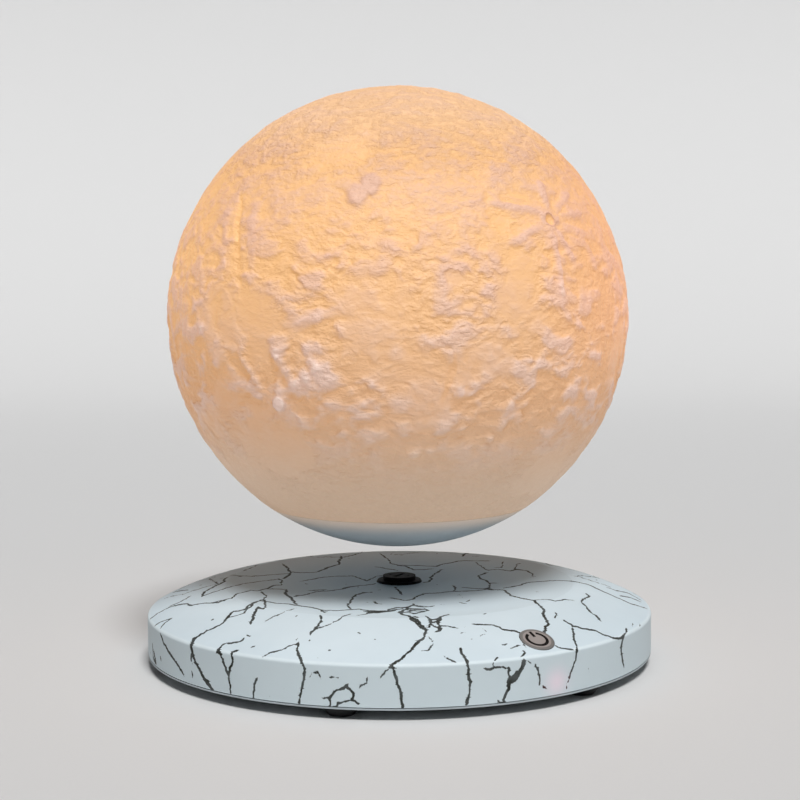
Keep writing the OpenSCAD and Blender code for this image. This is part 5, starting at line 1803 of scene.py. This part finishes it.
class MoonLampMoon(bpy.types.PropertyGroup):
    relief: length_setting("Relief", "From the deepest to the highest relief", 0.0009)
    relief_bump: length_setting("Relief shading", "Depth of the relief's own shading", 0.0015)
    grain_bump: length_setting("Grain", "Depth of the fine grain", 0.0009)
    # painted shading: how much the glow brightens on slopes that face up
    slope_light: amount_setting("Light on slopes", "How much slopes brighten upwards", 0.14)
    grain_light: amount_setting("Light through grain", "How much thick grain darkens", 0.10)
    thin: colour_setting("Thin wall", "Glow of thin wall, upper half", (0.65, 0.322, 0.103))
    thick: colour_setting("Thick wall", "Glow of thick wall, upper half", (0.495, 0.247, 0.146))
    low_thin: colour_setting("Thin wall low", "Glow of thin wall, low", (0.355, 0.15, 0.044))
    low_thick: colour_setting("Thick wall low", "Glow of thick wall, low", (0.275, 0.125, 0.066))
    # painted glow: orange on the right side, as the edge in view shows
    limb: colour_setting("Right side", "Glow on the right side", (0.62, 0.22, 0.09))
    crown: colour_setting("Crown", "Glow round the top", (0.74, 0.44, 0.25))
    foot: colour_setting("Foot", "Glow just above the seam", (0.20, 0.12, 0.07))
    wall_thin: colour_setting("Recesses", "Colour of the wall in recesses", (0.42, 0.30, 0.19))
    wall_thick: colour_setting("Ridges", "Colour of the wall on ridges", (0.435, 0.335, 0.28))
    wall_low: colour_setting("Low recesses", "Colour of low recesses", (0.53, 0.40, 0.29))
    wall_high: colour_setting("Low ridges", "Colour of low ridges", (0.69, 0.61, 0.565))
    wall_foot: colour_setting("Wall foot", "Colour of the wall above the seam", (0.62, 0.48, 0.37))
    # painted highlight on the highest bumps
    wall_peak_highlight: colour_setting("Peaks", "Colour of the highest bumps", (0.76, 0.71, 0.69))
    cap_glow: colour_setting("Cap glow", "Light in the cap at the seam", (0.19, 0.125, 0.08))
    cap_bleed: length_setting("Cap glow reach", "How far the light leaks into the cap", 0.0075)
    # painted warm light: the cap's colour near the seam
    cap_rim_warm_light: colour_setting("Cap rim", "Colour of the cap at the seam", (0.52, 0.49, 0.46))
    cap: colour_setting("Cap", "Colour of the unlit cap", (0.55, 0.61, 0.65))


class MoonLampStage(bpy.types.PropertyGroup):
    floor: colour_setting("Floor", "Colour of the floor", (0.72, 0.72, 0.72))
    sky: colour_setting("Sky", "Colour of the soft light from all round", (1.0, 1.0, 1.0))
    sky_strength: amount_setting("Sky strength", "Strength of the soft light", 0.095)
    key_power: amount_setting("Key light", "Strength of the main light", 2.68)
    key_spread: bpy.props.FloatProperty(name="Key spread", default=0.34, min=0.0,
                                        description="How wide the main light looks",
                                        unit="ROTATION", subtype="ANGLE")
    backdrop: amount_setting("Backdrop light", "Light behind the backdrop", 0.04)


# ---------------------------------------------------------------------------
# Operators and panel
# ---------------------------------------------------------------------------
class MOONLAMP_OT_stage(bpy.types.Operator):
    """Set the floor, the soft light and the camera"""

    bl_idname = "moonlamp.stage"
    bl_label = "Stage"

    def execute(self, context):
        build_stage(context.scene.moon_lamp_stage)
        return {"FINISHED"}


class MOONLAMP_OT_top_shell(bpy.types.Operator):
    """Make the base's marbled top shell"""

    bl_idname = "moonlamp.top_shell"
    bl_label = "Top shell"

    def execute(self, context):
        build_top_shell(context.scene.moon_lamp_base)
        return {"FINISHED"}


class MOONLAMP_OT_touch_disc(bpy.types.Operator):
    """Make the touch disc"""

    bl_idname = "moonlamp.touch_disc"
    bl_label = "Touch disc"

    def execute(self, context):
        build_touch_disc(context.scene.moon_lamp_base)
        return {"FINISHED"}


class MOONLAMP_OT_feet(bpy.types.Operator):
    """Make the rubber feet"""

    bl_idname = "moonlamp.feet"
    bl_label = "Rubber feet"

    def execute(self, context):
        build_feet()
        return {"FINISHED"}


class MOONLAMP_OT_globe(bpy.types.Operator):
    """Make the lit globe with its relief"""

    bl_idname = "moonlamp.globe"
    bl_label = "Globe"

    def execute(self, context):
        build_globe(context.scene.moon_lamp_moon)
        return {"FINISHED"}


class MOONLAMP_OT_cap(bpy.types.Operator):
    """Make the unlit cap under the globe"""

    bl_idname = "moonlamp.cap"
    bl_label = "Cap"

    def execute(self, context):
        build_cap(context.scene.moon_lamp_moon)
        return {"FINISHED"}


class MOONLAMP_OT_solids(bpy.types.Operator):
    """Give every solid that stays its finish"""

    bl_idname = "moonlamp.solids"
    bl_label = "Finishes of the solids"

    def execute(self, context):
        finish_solids()
        return {"FINISHED"}


OPERATORS = (MOONLAMP_OT_stage, MOONLAMP_OT_top_shell, MOONLAMP_OT_touch_disc, MOONLAMP_OT_feet,
             MOONLAMP_OT_globe, MOONLAMP_OT_cap, MOONLAMP_OT_solids)


class MOONLAMP_PT_pieces(bpy.types.Panel):
    """Lists the lamp's settings and pieces"""

    bl_idname = "MOONLAMP_PT_pieces"
    bl_label = "Moon lamp"
    bl_space_type = "VIEW_3D"
    bl_region_type = "UI"
    bl_category = "Moon Lamp"

    def draw(self, context):
        layout = self.layout
        scene = context.scene
        for group in (scene.moon_lamp_base, scene.moon_lamp_moon, scene.moon_lamp_stage):
            box = layout.box()
            for name in group.__annotations__:
                box.prop(group, name)
        for operator in OPERATORS:
            layout.operator(operator.bl_idname)


CLASSES = (MoonLampBase, MoonLampMoon, MoonLampStage, *OPERATORS, MOONLAMP_PT_pieces)


def register():
    for made in CLASSES:
        bpy.utils.register_class(made)
    bpy.types.Scene.moon_lamp_base = bpy.props.PointerProperty(type=MoonLampBase)
    bpy.types.Scene.moon_lamp_moon = bpy.props.PointerProperty(type=MoonLampMoon)
    bpy.types.Scene.moon_lamp_stage = bpy.props.PointerProperty(type=MoonLampStage)


def unregister():
    del bpy.types.Scene.moon_lamp_base
    del bpy.types.Scene.moon_lamp_moon
    del bpy.types.Scene.moon_lamp_stage
    for made in reversed(CLASSES):
        bpy.utils.unregister_class(made)


def main():
    register()
    bpy.ops.moonlamp.stage()
    bpy.ops.moonlamp.top_shell()
    bpy.ops.moonlamp.touch_disc()
    bpy.ops.moonlamp.feet()
    bpy.ops.moonlamp.globe()
    bpy.ops.moonlamp.cap()
    bpy.ops.moonlamp.solids()
    bpy.context.view_layer.update()


if __name__ == "__main__":
    main()
